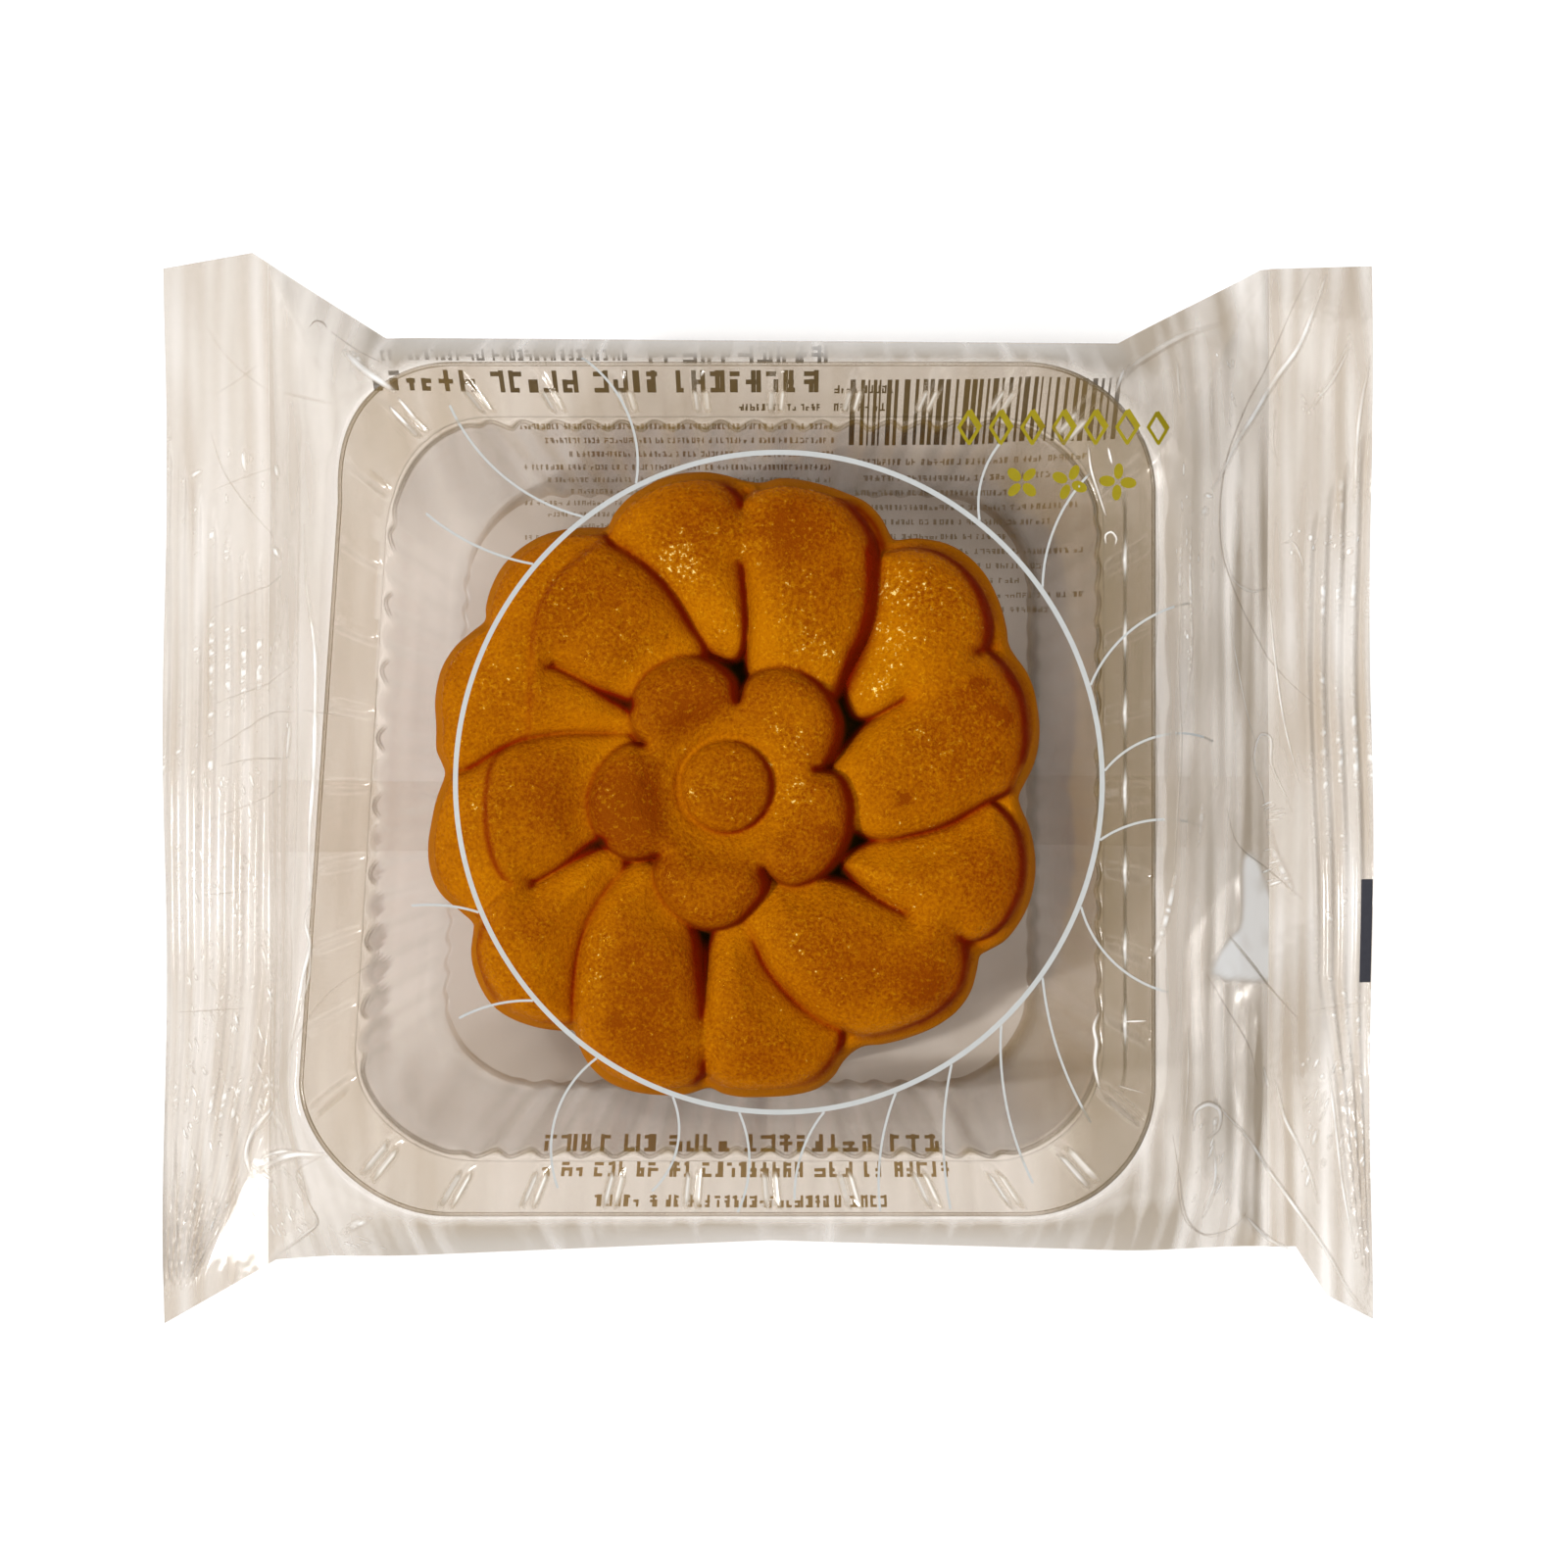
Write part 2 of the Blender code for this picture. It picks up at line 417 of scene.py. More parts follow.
def add_piece(
    name: str,
    points: Array,
    faces: Iterable[Sequence[int]],
    material: bpy.types.Material,
    slot: Slot,
    marks: dict[str, Array | float] | None = None,
    sharp_from: float | None = None,
) -> bpy.types.Object:
    """Make a mesh piece that rides on the pack and stands for its solid.

    Args:
        name: The piece's name.
        points: Its points, three numbers each.
        faces: Its faces, as lists of point numbers.
        material: Its material.
        slot: Which kind of finish it has; only crust and tray pieces cast shadows.
        marks: Values at its points, by the names that the material reads.
        sharp_from: The angle in degrees from which its edges stay sharp, or None for none.

    Returns:
        The piece.
    """
    mesh = bpy.data.meshes.new(name)
    mesh.from_pydata((np.asarray(points) * MM).tolist(), [], [list(map(int, f)) for f in faces])
    mesh.materials.append(material)
    mesh.shade_smooth()
    if sharp_from is not None:
        mesh.set_sharp_from_angle(angle=math.radians(sharp_from))
    for mark, values in (marks or {}).items():
        attribute = mesh.attributes.new(mark, "FLOAT", "POINT")
        values = np.broadcast_to(np.asarray(values, dtype=np.float32).ravel(), len(mesh.vertices))
        attribute.data.foreach_set("value", np.ascontiguousarray(values))
    piece = bpy.data.objects.new(name, mesh)
    bpy.context.scene.collection.objects.link(piece)
    piece.visible_shadow = slot in (Slot.CRUST, Slot.TRAY)  # thin clear film throws next to none
    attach(piece, BODY)
    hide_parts(NODE)
    log.info("%s: %d faces", name, len(mesh.polygons))
    return piece


@dataclass(frozen=True)
class Outline:
    """A closed smooth outline in plan, through points measured from the cake's middle."""

    points: tuple[Point, ...]

    def corners(self, steps: int = 4) -> Array:
        """Run a smooth closed curve through the points, with a few steps between each two."""
        at = np.array(self.points, float)
        before, after, later = np.roll(at, 1, axis=0), np.roll(at, -1, axis=0), np.roll(at, -2, axis=0)
        t = np.linspace(0, 1, steps, endpoint=False)[None, :, None]
        a, b, c, d = (p[:, None, :] for p in (before, at, after, later))
        curve = 0.5 * (2 * b + (c - a) * t + (2 * a - 5 * b + 4 * c - d) * t**2
                       + (3 * b - a - 3 * c + d) * t**3)
        return curve.reshape(-1, 2)

    def edges(self) -> Array:
        """List the curve's short straight edges, each as its two ends."""
        corners = self.corners()
        return np.stack([corners, np.roll(corners, -1, axis=0)], axis=1)

    def holds(self, x: Array, y: Array) -> Array:
        """Tell which points lie inside the outline."""
        inside = np.zeros(x.shape, bool)
        for start, end in self.edges():
            if start[1] != end[1]:
                crossing = (end[0] - start[0]) * (y - start[1]) / (end[1] - start[1]) + start[0]
                inside ^= ((start[1] > y) != (end[1] > y)) & (x < crossing)
        return inside

    def depth(self, x: Array, y: Array) -> Array:
        """Measure how deep points lie inside the outline, below 0 outside it."""
        away = nearest(self.edges(), x, y)
        return np.where(self.holds(x, y), away, -away)


def nearest(edges: Array, x: Array, y: Array, reach: float = 9.0) -> Array:
    """Measure how far points lie from the nearest of some edges, up to a reach.

    Args:
        edges: The edges, each as its two ends.
        x: The points' places along X.
        y: The points' places along Y.
        reach: The distance beyond which nothing is measured.

    Returns:
        The distances.
    """
    away = np.full(x.shape, reach)
    for start, end in edges:
        near = (np.abs(x - start[0]) < reach) & (np.abs(y - start[1]) < reach)
        away[near] = np.minimum(away[near], segment_distance(x[near], y[near], start, end)[0])
    return away


@dataclass(frozen=True)
class BagForm:
    """The form of the sealed bag: its plan and the heights of its front and back film."""

    half_length: float = 75.5
    seal_inner: float = 62.0
    tray_x: float = -3.8
    rim_height: float = 33.8
    rim_half: Point = (49.5, 50.3)
    rim_corner: float = 15.5
    base_half: Point = (39.5, 40.5)
    base_corner: float = 14.0
    splay_by: float = 2.3
    splay_most_at: float = 34.0
    splay_gone_at: float = 54.0
    cake_x: float = -4.9
    cake_radius: float = 35.0
    crown: float = 2.6
    crown_edge: float = 13.0
    dip: float = 0.5
    dip_width: float = 12.0
    side_fold: float = 21.0
    side_fold_end: float = 42.0
    seal_left: Point = (17.0, 14.0)
    seal_right: Point = (15.0, 11.5)
    seal_wave: float = 1.1
    seal_wave_length: float = 62.0
    front_fullness: float = 1.35
    back_fullness: float = 1.25
    upper_edge: tuple[Point, ...] = (
        (-75.5, 64.9), (-64, 66.4), (-47, 55.3), (42.5, 54.6), (61, 64.7), (75.5, 65.8),
    )
    lower_edge: tuple[Point, ...] = (
        (-75.5, -66.4), (-61, -57.9), (-54, -57.2), (0, -54.9), (65.5, -56.8), (69.5, -63), (75.5, -66.2),
    )

    def edges(self, x: Array) -> tuple[Array, Array]:
        """Give the lower and upper edge of the plan at each x."""
        low = np.interp(x, *zip(*self.lower_edge))
        high = np.interp(x, *zip(*self.upper_edge))
        return low, high

    @staticmethod
    def outside(x: Array, y: Array, half: Point, corner: float) -> Array:
        """Measure how far points lie outside a round-cornered square, below 0 inside it."""
        over_x = np.abs(x) - half[0] + corner
        over_y = np.abs(y) - half[1] + corner
        beyond = np.hypot(np.maximum(over_x, 0), np.maximum(over_y, 0))
        return beyond + np.minimum(np.maximum(over_x, over_y), 0) - corner

    def from_rim(self, x: Array, y: Array) -> Array:
        """Measure how far points lie outside the tray's rim, below 0 inside it."""
        return self.outside(x - self.tray_x, y, self.rim_half, self.rim_corner)

    def room(self, x: Array, y: Array) -> Array:
        """Measure how far points lie from the film's free edge or a seal's inner line."""
        nearest = self.seal_inner - np.abs(x)
        for outline in (self.upper_edge, self.lower_edge):
            for start, end in zip(outline, outline[1:]):
                nearest = np.minimum(nearest, segment_distance(x, y, start, end)[0])
        return np.maximum(nearest, 0.0)

    def splay(self, x: Array, y: Array) -> Array:
        """Give how far to the right the bent tray pushes points at its left side."""
        rim_left = self.tray_x - self.rim_half[0]
        inner = np.clip((self.tray_x - x) / self.rim_half[0], 0, 1)
        outer = np.clip((x + self.seal_inner) / (rim_left + self.seal_inner), 0, 1)
        fade = 1 - window(np.abs(y), self.splay_most_at, self.splay_gone_at)
        return self.splay_by * np.minimum(inner, outer) * fade * np.clip(y / self.splay_most_at, -1, 1)

    def seal(self, x: Array, y: Array) -> Array:
        """Give the height of the seal bands, which droop outwards and wave along their length."""
        left = x < 0
        inner = np.where(left, self.seal_left[0], self.seal_right[0])
        outer = np.where(left, self.seal_left[1], self.seal_right[1])
        droop = np.clip((np.abs(x) - self.seal_inner) / (self.half_length - self.seal_inner), 0, 1)
        wave = np.sin(2 * np.pi * y / self.seal_wave_length + np.where(left, 0.8, 2.3))
        return mix(inner, outer, droop) + self.seal_wave * wave * mix(0.5, 1.0, droop)

    def fold(self, x: Array, y: Array) -> Array:
        """Give the height of the side fold, which drops to the seals at the ends."""
        return mix(self.side_fold, self.seal(x, y), window(np.abs(x), self.side_fold_end, self.seal_inner))

    def cover(self, x: Array, y: Array) -> Array:
        """Give the height of the film over the tray and the cake."""
        inside = -self.from_rim(x, y)
        crown = self.crown * smooth((self.cake_radius - np.hypot(x - self.cake_x, y)) / self.crown_edge)
        return self.rim_height - self.dip * smooth(inside / self.dip_width) + crown

    def front(self, x: Array, y: Array) -> Array:
        """Give the height of the front film."""
        outside = self.from_rim(x, y)
        share = np.clip(outside, 0, None)
        share = share / (share + self.room(x, y) + 1e-9)
        slope = mix(self.rim_height, self.fold(x, y), share**self.front_fullness)
        return np.where(outside <= 0, self.cover(x, y), slope)

    def back(self, x: Array, y: Array) -> Array:
        """Give the height of the back film."""
        outside = np.clip(self.outside(x - self.tray_x, y, self.base_half, self.base_corner), 0, None)
        share = outside / (outside + self.room(x, y) + 1e-9)
        return self.fold(x, y) * share**self.back_fullness


@dataclass(frozen=True)
class Fold:
    """A fold in the film: its line in plan, its width, and how strong its painted highlight and its painted
    shade are.
    """

    line: tuple[Point, ...]
    width: float = 0.8
    shine: float = 0.75
    shade: float = 0.3
    lift: float = 0.15
    dash: float = 0.0

    def path(self, step: float = 0.4) -> tuple[Array, Array]:
        """Follow the line as a smooth curve.

        Args:
            step: The distance between points.

        Returns:
            The curve's points, and how far along each lies.
        """
        given = np.array(self.line, float)
        stops = np.concatenate([[0.0], np.cumsum(np.linalg.norm(np.diff(given, axis=0), axis=1))])
        slopes = np.gradient(given, stops, axis=0)
        along = np.linspace(0, stops[-1], max(4, round(stops[-1] / step) + 1))
        leg = np.clip(np.searchsorted(stops, along, side="right") - 1, 0, len(stops) - 2)
        length = (stops[leg + 1] - stops[leg])[:, None]
        t = (along - stops[leg])[:, None] / length
        curve = (2 * t**3 - 3 * t**2 + 1) * given[leg] + (t**3 - 2 * t**2 + t) * length * slopes[leg]
        curve = curve + (3 * t**2 - 2 * t**3) * given[leg + 1] + (t**3 - t**2) * length * slopes[leg + 1]
        return curve, along


@dataclass(frozen=True)
class Glints:
    """A patch of small bright dashes, where crumpled film catches the light."""

    corner: Point
    size: Point
    count: int
    length: float
    width: float
    lean: float

    def strokes(self, seed: int) -> list[Fold]:
        """Scatter the dashes over the patch.

        Args:
            seed: What their places and sizes are drawn from.

        Returns:
            The dashes as short folds.
        """
        rng = np.random.default_rng(seed)
        strokes = []
        for _ in range(self.count):
            x, y = np.array(self.corner) + rng.uniform(0, 1, 2) * self.size
            turn = math.radians(self.lean + rng.uniform(-10, 10))
            half = self.length * rng.uniform(0.3, 1.3) / 2
            dx, dy = half * math.sin(turn), half * math.cos(turn)
            strokes.append(Fold(((x - dx, y - dy), (x + dx, y + dy)), self.width * rng.uniform(0.5, 1.3),
                                rng.uniform(0.5, 1.0), 0.15, 0.05))
        return strokes


@dataclass
class FilmBag:
    """The clear film: its front and back, folds, the crimped end seals and the back seam."""

    form: BagForm
    fine_step: float = 0.32
    wide_step: float = 0.75
    fine_from: float = 44.0
    row_step: float = 0.42
    back_step: float = 0.9
    seal_step: float = 0.22
    seal_row_step: float = 0.4
    crimp_pitch: float = 2.05
    crimp_depth: float = 0.32
    film_gap: float = 0.08
    seal_thickness: float = 0.3
    seam_width: float = 9.0
    seam_y: float = -3.0
    # The direction in plan of each fold's painted shade, away from the key light.
    shade_side: Point = (0.96, 0.27)
    crimps_left: tuple[Point, ...] = (
        (-66, 2.5), (-47.6, 11), (-34.9, 15.3), (-22.6, 17.5), (0, 18.3), (66, 18),
    )
    crimps_right: tuple[Point, ...] = (
        (-66, 0.4), (-56, 2.5), (-36.5, 5), (-23.7, 7.7), (0, 8.6), (66, 8.6),
    )
    crimps_full: Point = (18.3, 8.6)
    # Across each fold: place, lift of the crest, share of painted highlight, share of painted shade.
    fold_section: tuple[tuple[float, float, float, float], ...] = (
        (-1, 0, 0, 0), (-0.6, 0.6, 0.7, 0), (-0.25, 1, 1, 0), (0.1, 0.9, 0.8, 0.1), (0.4, 0.5, 0.1, 0.8),
        (0.7, 0.2, 0, 0.8), (1, 0, 0, 0),
    )
    dull_below: float = 0.15
    ridge_height: float = 0.28
    fine_ridge_height: float = 0.10
    crumple_drop: float = 0.1
    seal_veil: Point = (0.26, 0.33)
    seam_gap: float = 0.12
    fold_gap: float = 0.05
    back_gap: float = 0.02
    finish: ClearFinish = ClearFinish("clear_film", (0.965, 0.948, 0.93))
    fold_finish: ClearFinish = ClearFinish("film_fold", (1.0, 1.0, 1.0), gloss=0.0, edge_gloss=0.0)
    sheen: Outline = Outline((
        (57.4, -8.3), (59.3, -7.9), (61, -10.1), (62.7, -13.5), (65.3, -17.4), (66.8, -18.9), (66.9, -23.3),
        (62.8, -23.9), (57.8, -23.4), (52.9, -22.2), (53.2, -19.9), (55.2, -17.8), (57.1, -15.6),
    ))
    folds: tuple[Fold, ...] = (
        # right of the tray
        Fold(((69.5, 64.5), (68.1, 60.7), (65.3, 54.4), (63.4, 51.9), (59.6, 46.2), (56.8, 42.4),
             (53.9, 37.5), (52.7, 35.8)), 1.1, 0.95, 0.25, 0.3),
        Fold(((67.3, 64.6), (65.1, 60.2), (61.2, 51.8), (58.4, 47.2), (54.7, 38.8), (53.9, 34), (54.4, 28.2),
             (56.6, 23.6), (60.3, 18.6), (65.4, 13), (68.4, 10.6)), 0.45, 0, 0.45),
        Fold(((72.4, 56.3), (71.2, 53.8), (69.3, 50.6), (67.7, 47.6)), 0.7, 0.5, 0.2),
        Fold(((75.1, 53.2), (74.1, 49), (73.6, 43.8), (73.3, 36)), 0.8, 0.7, 0.15),
        Fold(((55.2, 57.1), (50.5, 55.3), (46.2, 52.7), (42.9, 50.2), (40.8, 47.7)), 1.3, 0.55, 0.3),
        Fold(((48.6, 33.3), (48.3, 25), (48.5, 16.1)), 0.8, 0.5, 0.1, dash=2.3),
        Fold(((49.9, 34.2), (49.6, 26), (49.8, 17), (48.8, 8)), 0.6, 0.75, 0.2, dash=1.7),
        Fold(((51.5, 33.5), (51.2, 25.2), (51.5, 17.2)), 0.7, 0.4, 0.1, dash=2.9),
        Fold(((54.7, 29.7), (55.8, 25.7), (59.1, 24.5), (61.9, 25.2)), 0.7, 0.45, 0.2),
        Fold(((63.7, 30.7), (64.9, 31.1), (66.3, 29.3), (66.7, 27)), 0.6, 0.6, 0.15),
        Fold(((55.5, 24.5), (55.7, 20.1), (56.9, 14.2), (58.8, 8), (60.3, 4.6)), 0.5, 0.65, 0.15),
        Fold(((62, 25.8), (63, 15.5), (64.1, 8.1), (65.9, 1)), 0.5, 0.75, 0.2),
        Fold(((61.3, -3.5), (60.9, -0.2), (59.6, 2.4), (59.4, 4.6), (60.8, 7), (61.8, 6.9), (62.3, 3.2),
             (63.8, -0.1), (65, -2.7)), 0.6, 0.7, 0.25),
        Fold(((61.8, -3.7), (62.4, -7), (63.8, -10), (65.3, -13)), 1.5, 0.8, 0.2, dash=1),
        Fold(((54.9, -2), (56.3, -6), (61.8, -9.8), (66.4, -13.6)), 0.4, 0, 0.4),
        Fold(((54.9, -17), (60.2, -22.2), (63.9, -26.3)), 0.4, 0.1, 0.4),
        Fold(((48.5, 23.9), (48, 14.6), (48.4, 5.4), (47.9, -2.7), (47.4, -11.5)), 0.4, 0.35, 0.3),
        Fold(((45.2, 38.7), (45.5, 23.8), (45, 12.3), (45.3, 0.8), (44.8, -17.6), (44.4, -28.7)),
             0.35, 0.2, 0.4),
        Fold(((47.9, -9.3), (46.7, -14.7), (45.1, -19.4)), 1.3, 0.9, 0.1, dash=0.9),
        Fold(((51.3, -1.3), (51.2, -3.5), (50.7, -6.8)), 1.1, 0.6, 0.1, dash=1.1),
        Fold(((53, -36.8), (54.7, -38.7), (58.5, -42.5), (62.6, -48), (65.9, -52.5), (69.9, -58.2),
             (72.4, -62.6), (74.8, -65.6)), 0.8, 0.8, 0.3),
        Fold(((63, -36), (64.3, -41), (66, -44.3), (67.6, -48.2), (68.6, -51.7)), 0.8, 0.75, 0.2),
        Fold(((69.9, -33.5), (71.1, -42.9), (71.8, -49.3), (73.1, -57)), 0.7, 0.95, 0.2),
        Fold(((50.2, -40.3), (50.4, -37.9), (52, -37.2), (53.9, -38.3), (53.7, -40.5), (52.1, -41.4)),
             0.9, 0.8, 0.45),
        Fold(((54, -46), (53.1, -49), (52.4, -52)), 1, 0.8, 0.15),
        Fold(((47.4, -40.4), (48.6, -45.7), (49.6, -49.7), (50.9, -52.3), (53.5, -54.4), (56.2, -53.9),
             (58.4, -51.8)), 0.45, 0.1, 0.35),
        Fold(((58.2, -52), (62.5, -56), (65, -57.2)), 0.8, 0.7, 0.2),
        Fold(((67.5, -27.6), (71, -27.3), (75.2, -26.7)), 0.7, 0.5, 0.15),
        Fold(((49.4, -27.8), (49.3, -33.9), (49, -39.5)), 0.5, 0.5, 0.1),
        # left of the tray
        Fold(((-55.4, 31.8), (-54.9, 25.4), (-53.3, 15.6), (-53.2, 9), (-53.3, 2.3), (-53.8, -4.6),
             (-53.7, -13.9)), 1, 1, 0.1, 0.2),
        Fold(((-53.5, -12.9), (-54.3, -15.3), (-53.8, -17.6), (-54.7, -22.2), (-56.6, -30.4), (-58.3, -34.7),
             (-60.6, -38.2)), 0.9, 1, 0.2, 0.2),
        Fold(((-60.7, -38.5), (-63.3, -41.4), (-64.5, -43.8), (-64.6, -45.9), (-63.8, -48)),
             1.1, 0.9, 0.25, 0.3),
        Fold(((-64.6, -48.2), (-60, -45.1), (-56, -43.2), (-51.6, -42.6)), 1.3, 0.8, 0.2, 0.3),
        Fold(((-55.6, -44.4), (-55.3, -48.3), (-54.3, -51.7), (-56.9, -54.2), (-60.4, -57)), 0.6, 0.5, 0.4),
        Fold(((-51.6, -53.7), (-49.5, -51.8), (-47.3, -50.4)), 1.4, 0.7, 0.15, dash=0.9),
        Fold(((-55.9, 56.2), (-55.2, 57.2), (-54.4, 57), (-53.7, 56.1)), 0.4, 0, 0.6),
        Fold(((-53.2, 55.7), (-50.3, 53.5), (-45.6, 50.5)), 0.4, 0.1, 0.3),
        Fold(((-51.2, 53.1), (-48.3, 50.3), (-43.6, 46.7)), 1.5, 0.9, 0.15, 0.3),
        Fold(((-60.9, 40.2), (-60.1, 38.2)), 1.2, 0.9, 0.2),
        Fold(((-57.9, 38.9), (-57.8, 36.5), (-57.6, 33.3)), 0.5, 0.8, 0.1),
        Fold(((-61.3, 30), (-59.4, 28.2)), 1.3, 1, 0.2),
        Fold(((-65.3, 42.4), (-65.1, 39.4)), 0.8, 0.7, 0.1),
        Fold(((-72.4, 39), (-70.8, 39.9)), 1, 0.8, 0.1),
        # smaller and darker ones on the left
        Fold(((-57.2, 8.2), (-57.7, 3.8)), 1, 1, 0.2),
        Fold(((-56.3, 40.4), (-56.2, 21.8), (-56, 3.1), (-56.1, -12.8)), 0.5, 0.25, 0.25),
        Fold(((-69.9, 57.6), (-68.4, 55.1), (-65.1, 51.7), (-62.1, 49.5)), 0.5, 0, 0.16),
        Fold(((-69.7, 44.8), (-67.9, 39.7), (-65.2, 35.8), (-60.9, 30.9)), 0.45, 0, 0.25),
        Fold(((-69.2, 49.1), (-66.5, 50.5), (-63.4, 52.6)), 0.6, 0, 0.16),
        Fold(((-59.4, 48.6), (-55.6, 47.1), (-51.5, 45.6)), 0.7, 0, 0.16),
        Fold(((-69.3, 37.4), (-65.2, 38.8), (-61.6, 39.9)), 0.5, 0, 0.2),
        Fold(((-69.3, 22.6), (-64.7, 24.3), (-58.8, 26.4)), 0.5, 0, 0.22),
        Fold(((-68.9, 10.7), (-63.7, 12.5), (-57.2, 14.8)), 0.45, 0, 0.22),
        Fold(((-69.3, 4.8), (-64.5, 7.7), (-62, 9.2), (-56.7, 9.4)), 0.45, 0, 0.26),
        Fold(((-55.3, 9.6), (-48.5, 8.6)), 0.45, 0, 0.2),
        Fold(((-68.3, 3), (-64.9, 3.8), (-57.9, 3.9)), 0.45, 0, 0.28),
        Fold(((-69.7, -3.7), (-63.4, -1.4), (-58.6, 0.8)), 0.45, 0, 0.16),
        Fold(((-70.9, -13), (-64.1, -12.4)), 0.4, 0, 0.22),
        Fold(((-74.2, -27.7), (-65.2, -27)), 0.4, 0, 0.28),
        Fold(((-47, -20.5), (-51.6, -23.8), (-56.8, -31.1)), 0.5, 0, 0.2),
        Fold(((-53.7, -15.8), (-54, -22.4), (-55.5, -26.7), (-57.6, -31.7), (-60.8, -39.1), (-64, -43)),
             0.6, 0.8, 0.2),
        Fold(((-52.1, -42.5), (-57.5, -43), (-63.4, -45.6)), 0.8, 0.9, 0.2),
        Fold(((-52.1, -42.5), (-56.5, -45.8), (-54.3, -51.2), (-59.1, -56.4)), 0.45, 0.3, 0.3),
        Fold(((-50.4, -52.6), (-46.8, -50.4)), 1.2, 1, 0.1, dash=0.8),
        Fold(((-64.5, -45.9), (-61.1, -48.1)), 1, 1, 0.1, dash=0.9),
        Fold(((-73.2, -61.6), (-71.1, -53), (-69.6, -48.5)), 0.5, 0.3, 0.25),
        Fold(((-73.2, -62.1), (-69.6, -56.4), (-66, -51.4)), 0.5, 0.3, 0.3),
        Fold(((-73.2, -62.1), (-73.7, -54.1), (-74.1, -41.8)), 0.5, 0.5, 0.2),
        Fold(((-50.3, 52.9), (-47.5, 50)), 1.3, 1, 0.1, dash=1.1),
        Fold(((-44.5, 45.1), (-42.3, 42.8)), 0.7, 1, 0.1),
        Fold(((-43.5, 46.1), (-41.4, 43.6)), 0.7, 1, 0.1),
        Fold(((-65.5, 42.1), (-65.3, 39.8)), 0.6, 1, 0.1),
        Fold(((-60.9, 29.9), (-60.1, 28.7)), 1.1, 1, 0.2),
        # smaller ones on the right
        Fold(((39.4, 28.8), (39.4, 30.1), (40, 30.4), (40.7, 29.6), (40.5, 28.7)), 0.5, 1, 0.1),
        Fold(((37.4, 40.5), (37.7, 37.9), (38.7, 34.6), (39.5, 32.1)), 0.55, 1, 0.3),
        Fold(((39.7, 40.3), (40.2, 38.2)), 0.5, 1, 0.2),
        Fold(((51.6, 35.2), (52.8, 35)), 0.9, 1, 0.2),
        Fold(((51.2, 32.6), (52.2, 33.6)), 1.3, 1, 0.1),
        Fold(((52.8, 28), (53, 26)), 0.8, 0.9, 0.1),
        Fold(((72.5, 55.5), (70.3, 51.3), (67.1, 47.4)), 0.7, 0.6, 0.15),
        Fold(((75.2, 54.5), (74, 47.6), (73.3, 36.4)), 0.7, 0.6, 0.15),
        Fold(((62.8, 47.6), (62.5, 42.8), (63.3, 40.2)), 0.6, 0.4, 0.1),
        Fold(((53.1, 49.3), (52.9, 43.2)), 0.8, 0.35, 0.1),
        Fold(((48.9, 52.1), (48.6, 45.8)), 0.7, 0.4, 0.1),
        Fold(((42.2, 50.2), (40.5, 46.5)), 0.7, 0.8, 0.1),
        Fold(((38.7, -25.9), (38.1, -27.7), (38.4, -29.5), (38.2, -31.8), (38.7, -34.9)), 0.8, 1, 0.2),
        Fold(((41.3, -27), (44.3, -26.9)), 0.4, 0.9, 0.1),
        Fold(((40.7, -34.5), (44, -35.4)), 0.4, 0.6, 0.2),
        Fold(((53, -41.7), (53.5, -46.1), (52.4, -50.6)), 0.8, 0.9, 0.1),
        Fold(((61.3, -34.2), (62.2, -37.2)), 0.8, 0.8, 0.1),
        Fold(((51.8, -21.7), (55.3, -26.6), (59.2, -32.4), (60.2, -36.4)), 0.4, 0, 0.35),
        Fold(((55.2, -17.5), (61.9, -24.2), (66, -28.6)), 0.45, 0, 0.45),
        Fold(((48.6, -40.2), (48.6, -47.5), (50.9, -52.7), (54.4, -54.8), (57.7, -53.3)), 0.45, 0, 0.25),
    )
    glints: tuple[Glints, ...] = (
        Glints((-71.5, -22), (8, 24), 46, 1.7, 0.55, -8),
        Glints((-73, -47), (7, 24), 40, 1.5, 0.6, -20),
        Glints((-63.5, -40), (4, 22), 22, 2.6, 0.5, -22),
        Glints((-64.5, -55), (9, 11), 30, 1.4, 0.7, -40),
        Glints((-62.5, 4), (6, 22), 16, 1.1, 0.45, -5),
        Glints((-72.5, 36), (12, 6), 7, 1, 0.6, 10),
        Glints((-56.5, -57), (10, 6), 9, 1.6, 0.5, -60),
        Glints((48.9, 15.5), (1.4, 6), 12, 0.9, 0.5, 0),
        Glints((47.8, 26), (3, 12), 10, 1.6, 0.4, 5),
        Glints((65, 29), (9, 3.5), 20, 0.9, 0.9, 15),
        Glints((61.2, -13), (2.4, 12.5), 15, 1.9, 0.5, 78),
        Glints((66.5, -49), (8, 17.5), 34, 1.9, 0.85, 22),
        Glints((73, -60), (2, 9), 16, 0.9, 0.6, 15),
        Glints((51, -42), (3, 5), 8, 1.2, 0.8, 10),
        Glints((53.5, 44), (3, 10.5), 8, 1, 0.5, -15),
        Glints((49, -50.5), (7, 8), 8, 1.8, 0.5, 30),
        Glints((66, 46), (3, 4), 5, 1.2, 0.5, -40),
    )

    def crumple(self, x: Array, y: Array) -> Array:
        """Give the film's small crumples, strongest between tray and seals."""
        form = self.form
        outside = form.from_rim(x, y)
        loose = window(outside, -2.0, 4.0) * window(form.room(x, y), 0.0, 3.0)
        ridges = 1 - 2 * np.abs(lumps(x, y * 0.45, 7.0, 3.0))
        fine = 1 - 2 * np.abs(lumps(x, y * 0.4, 2.6, 8.0))
        return loose * (self.ridge_height * ridges + self.fine_ridge_height * fine - self.crumple_drop)

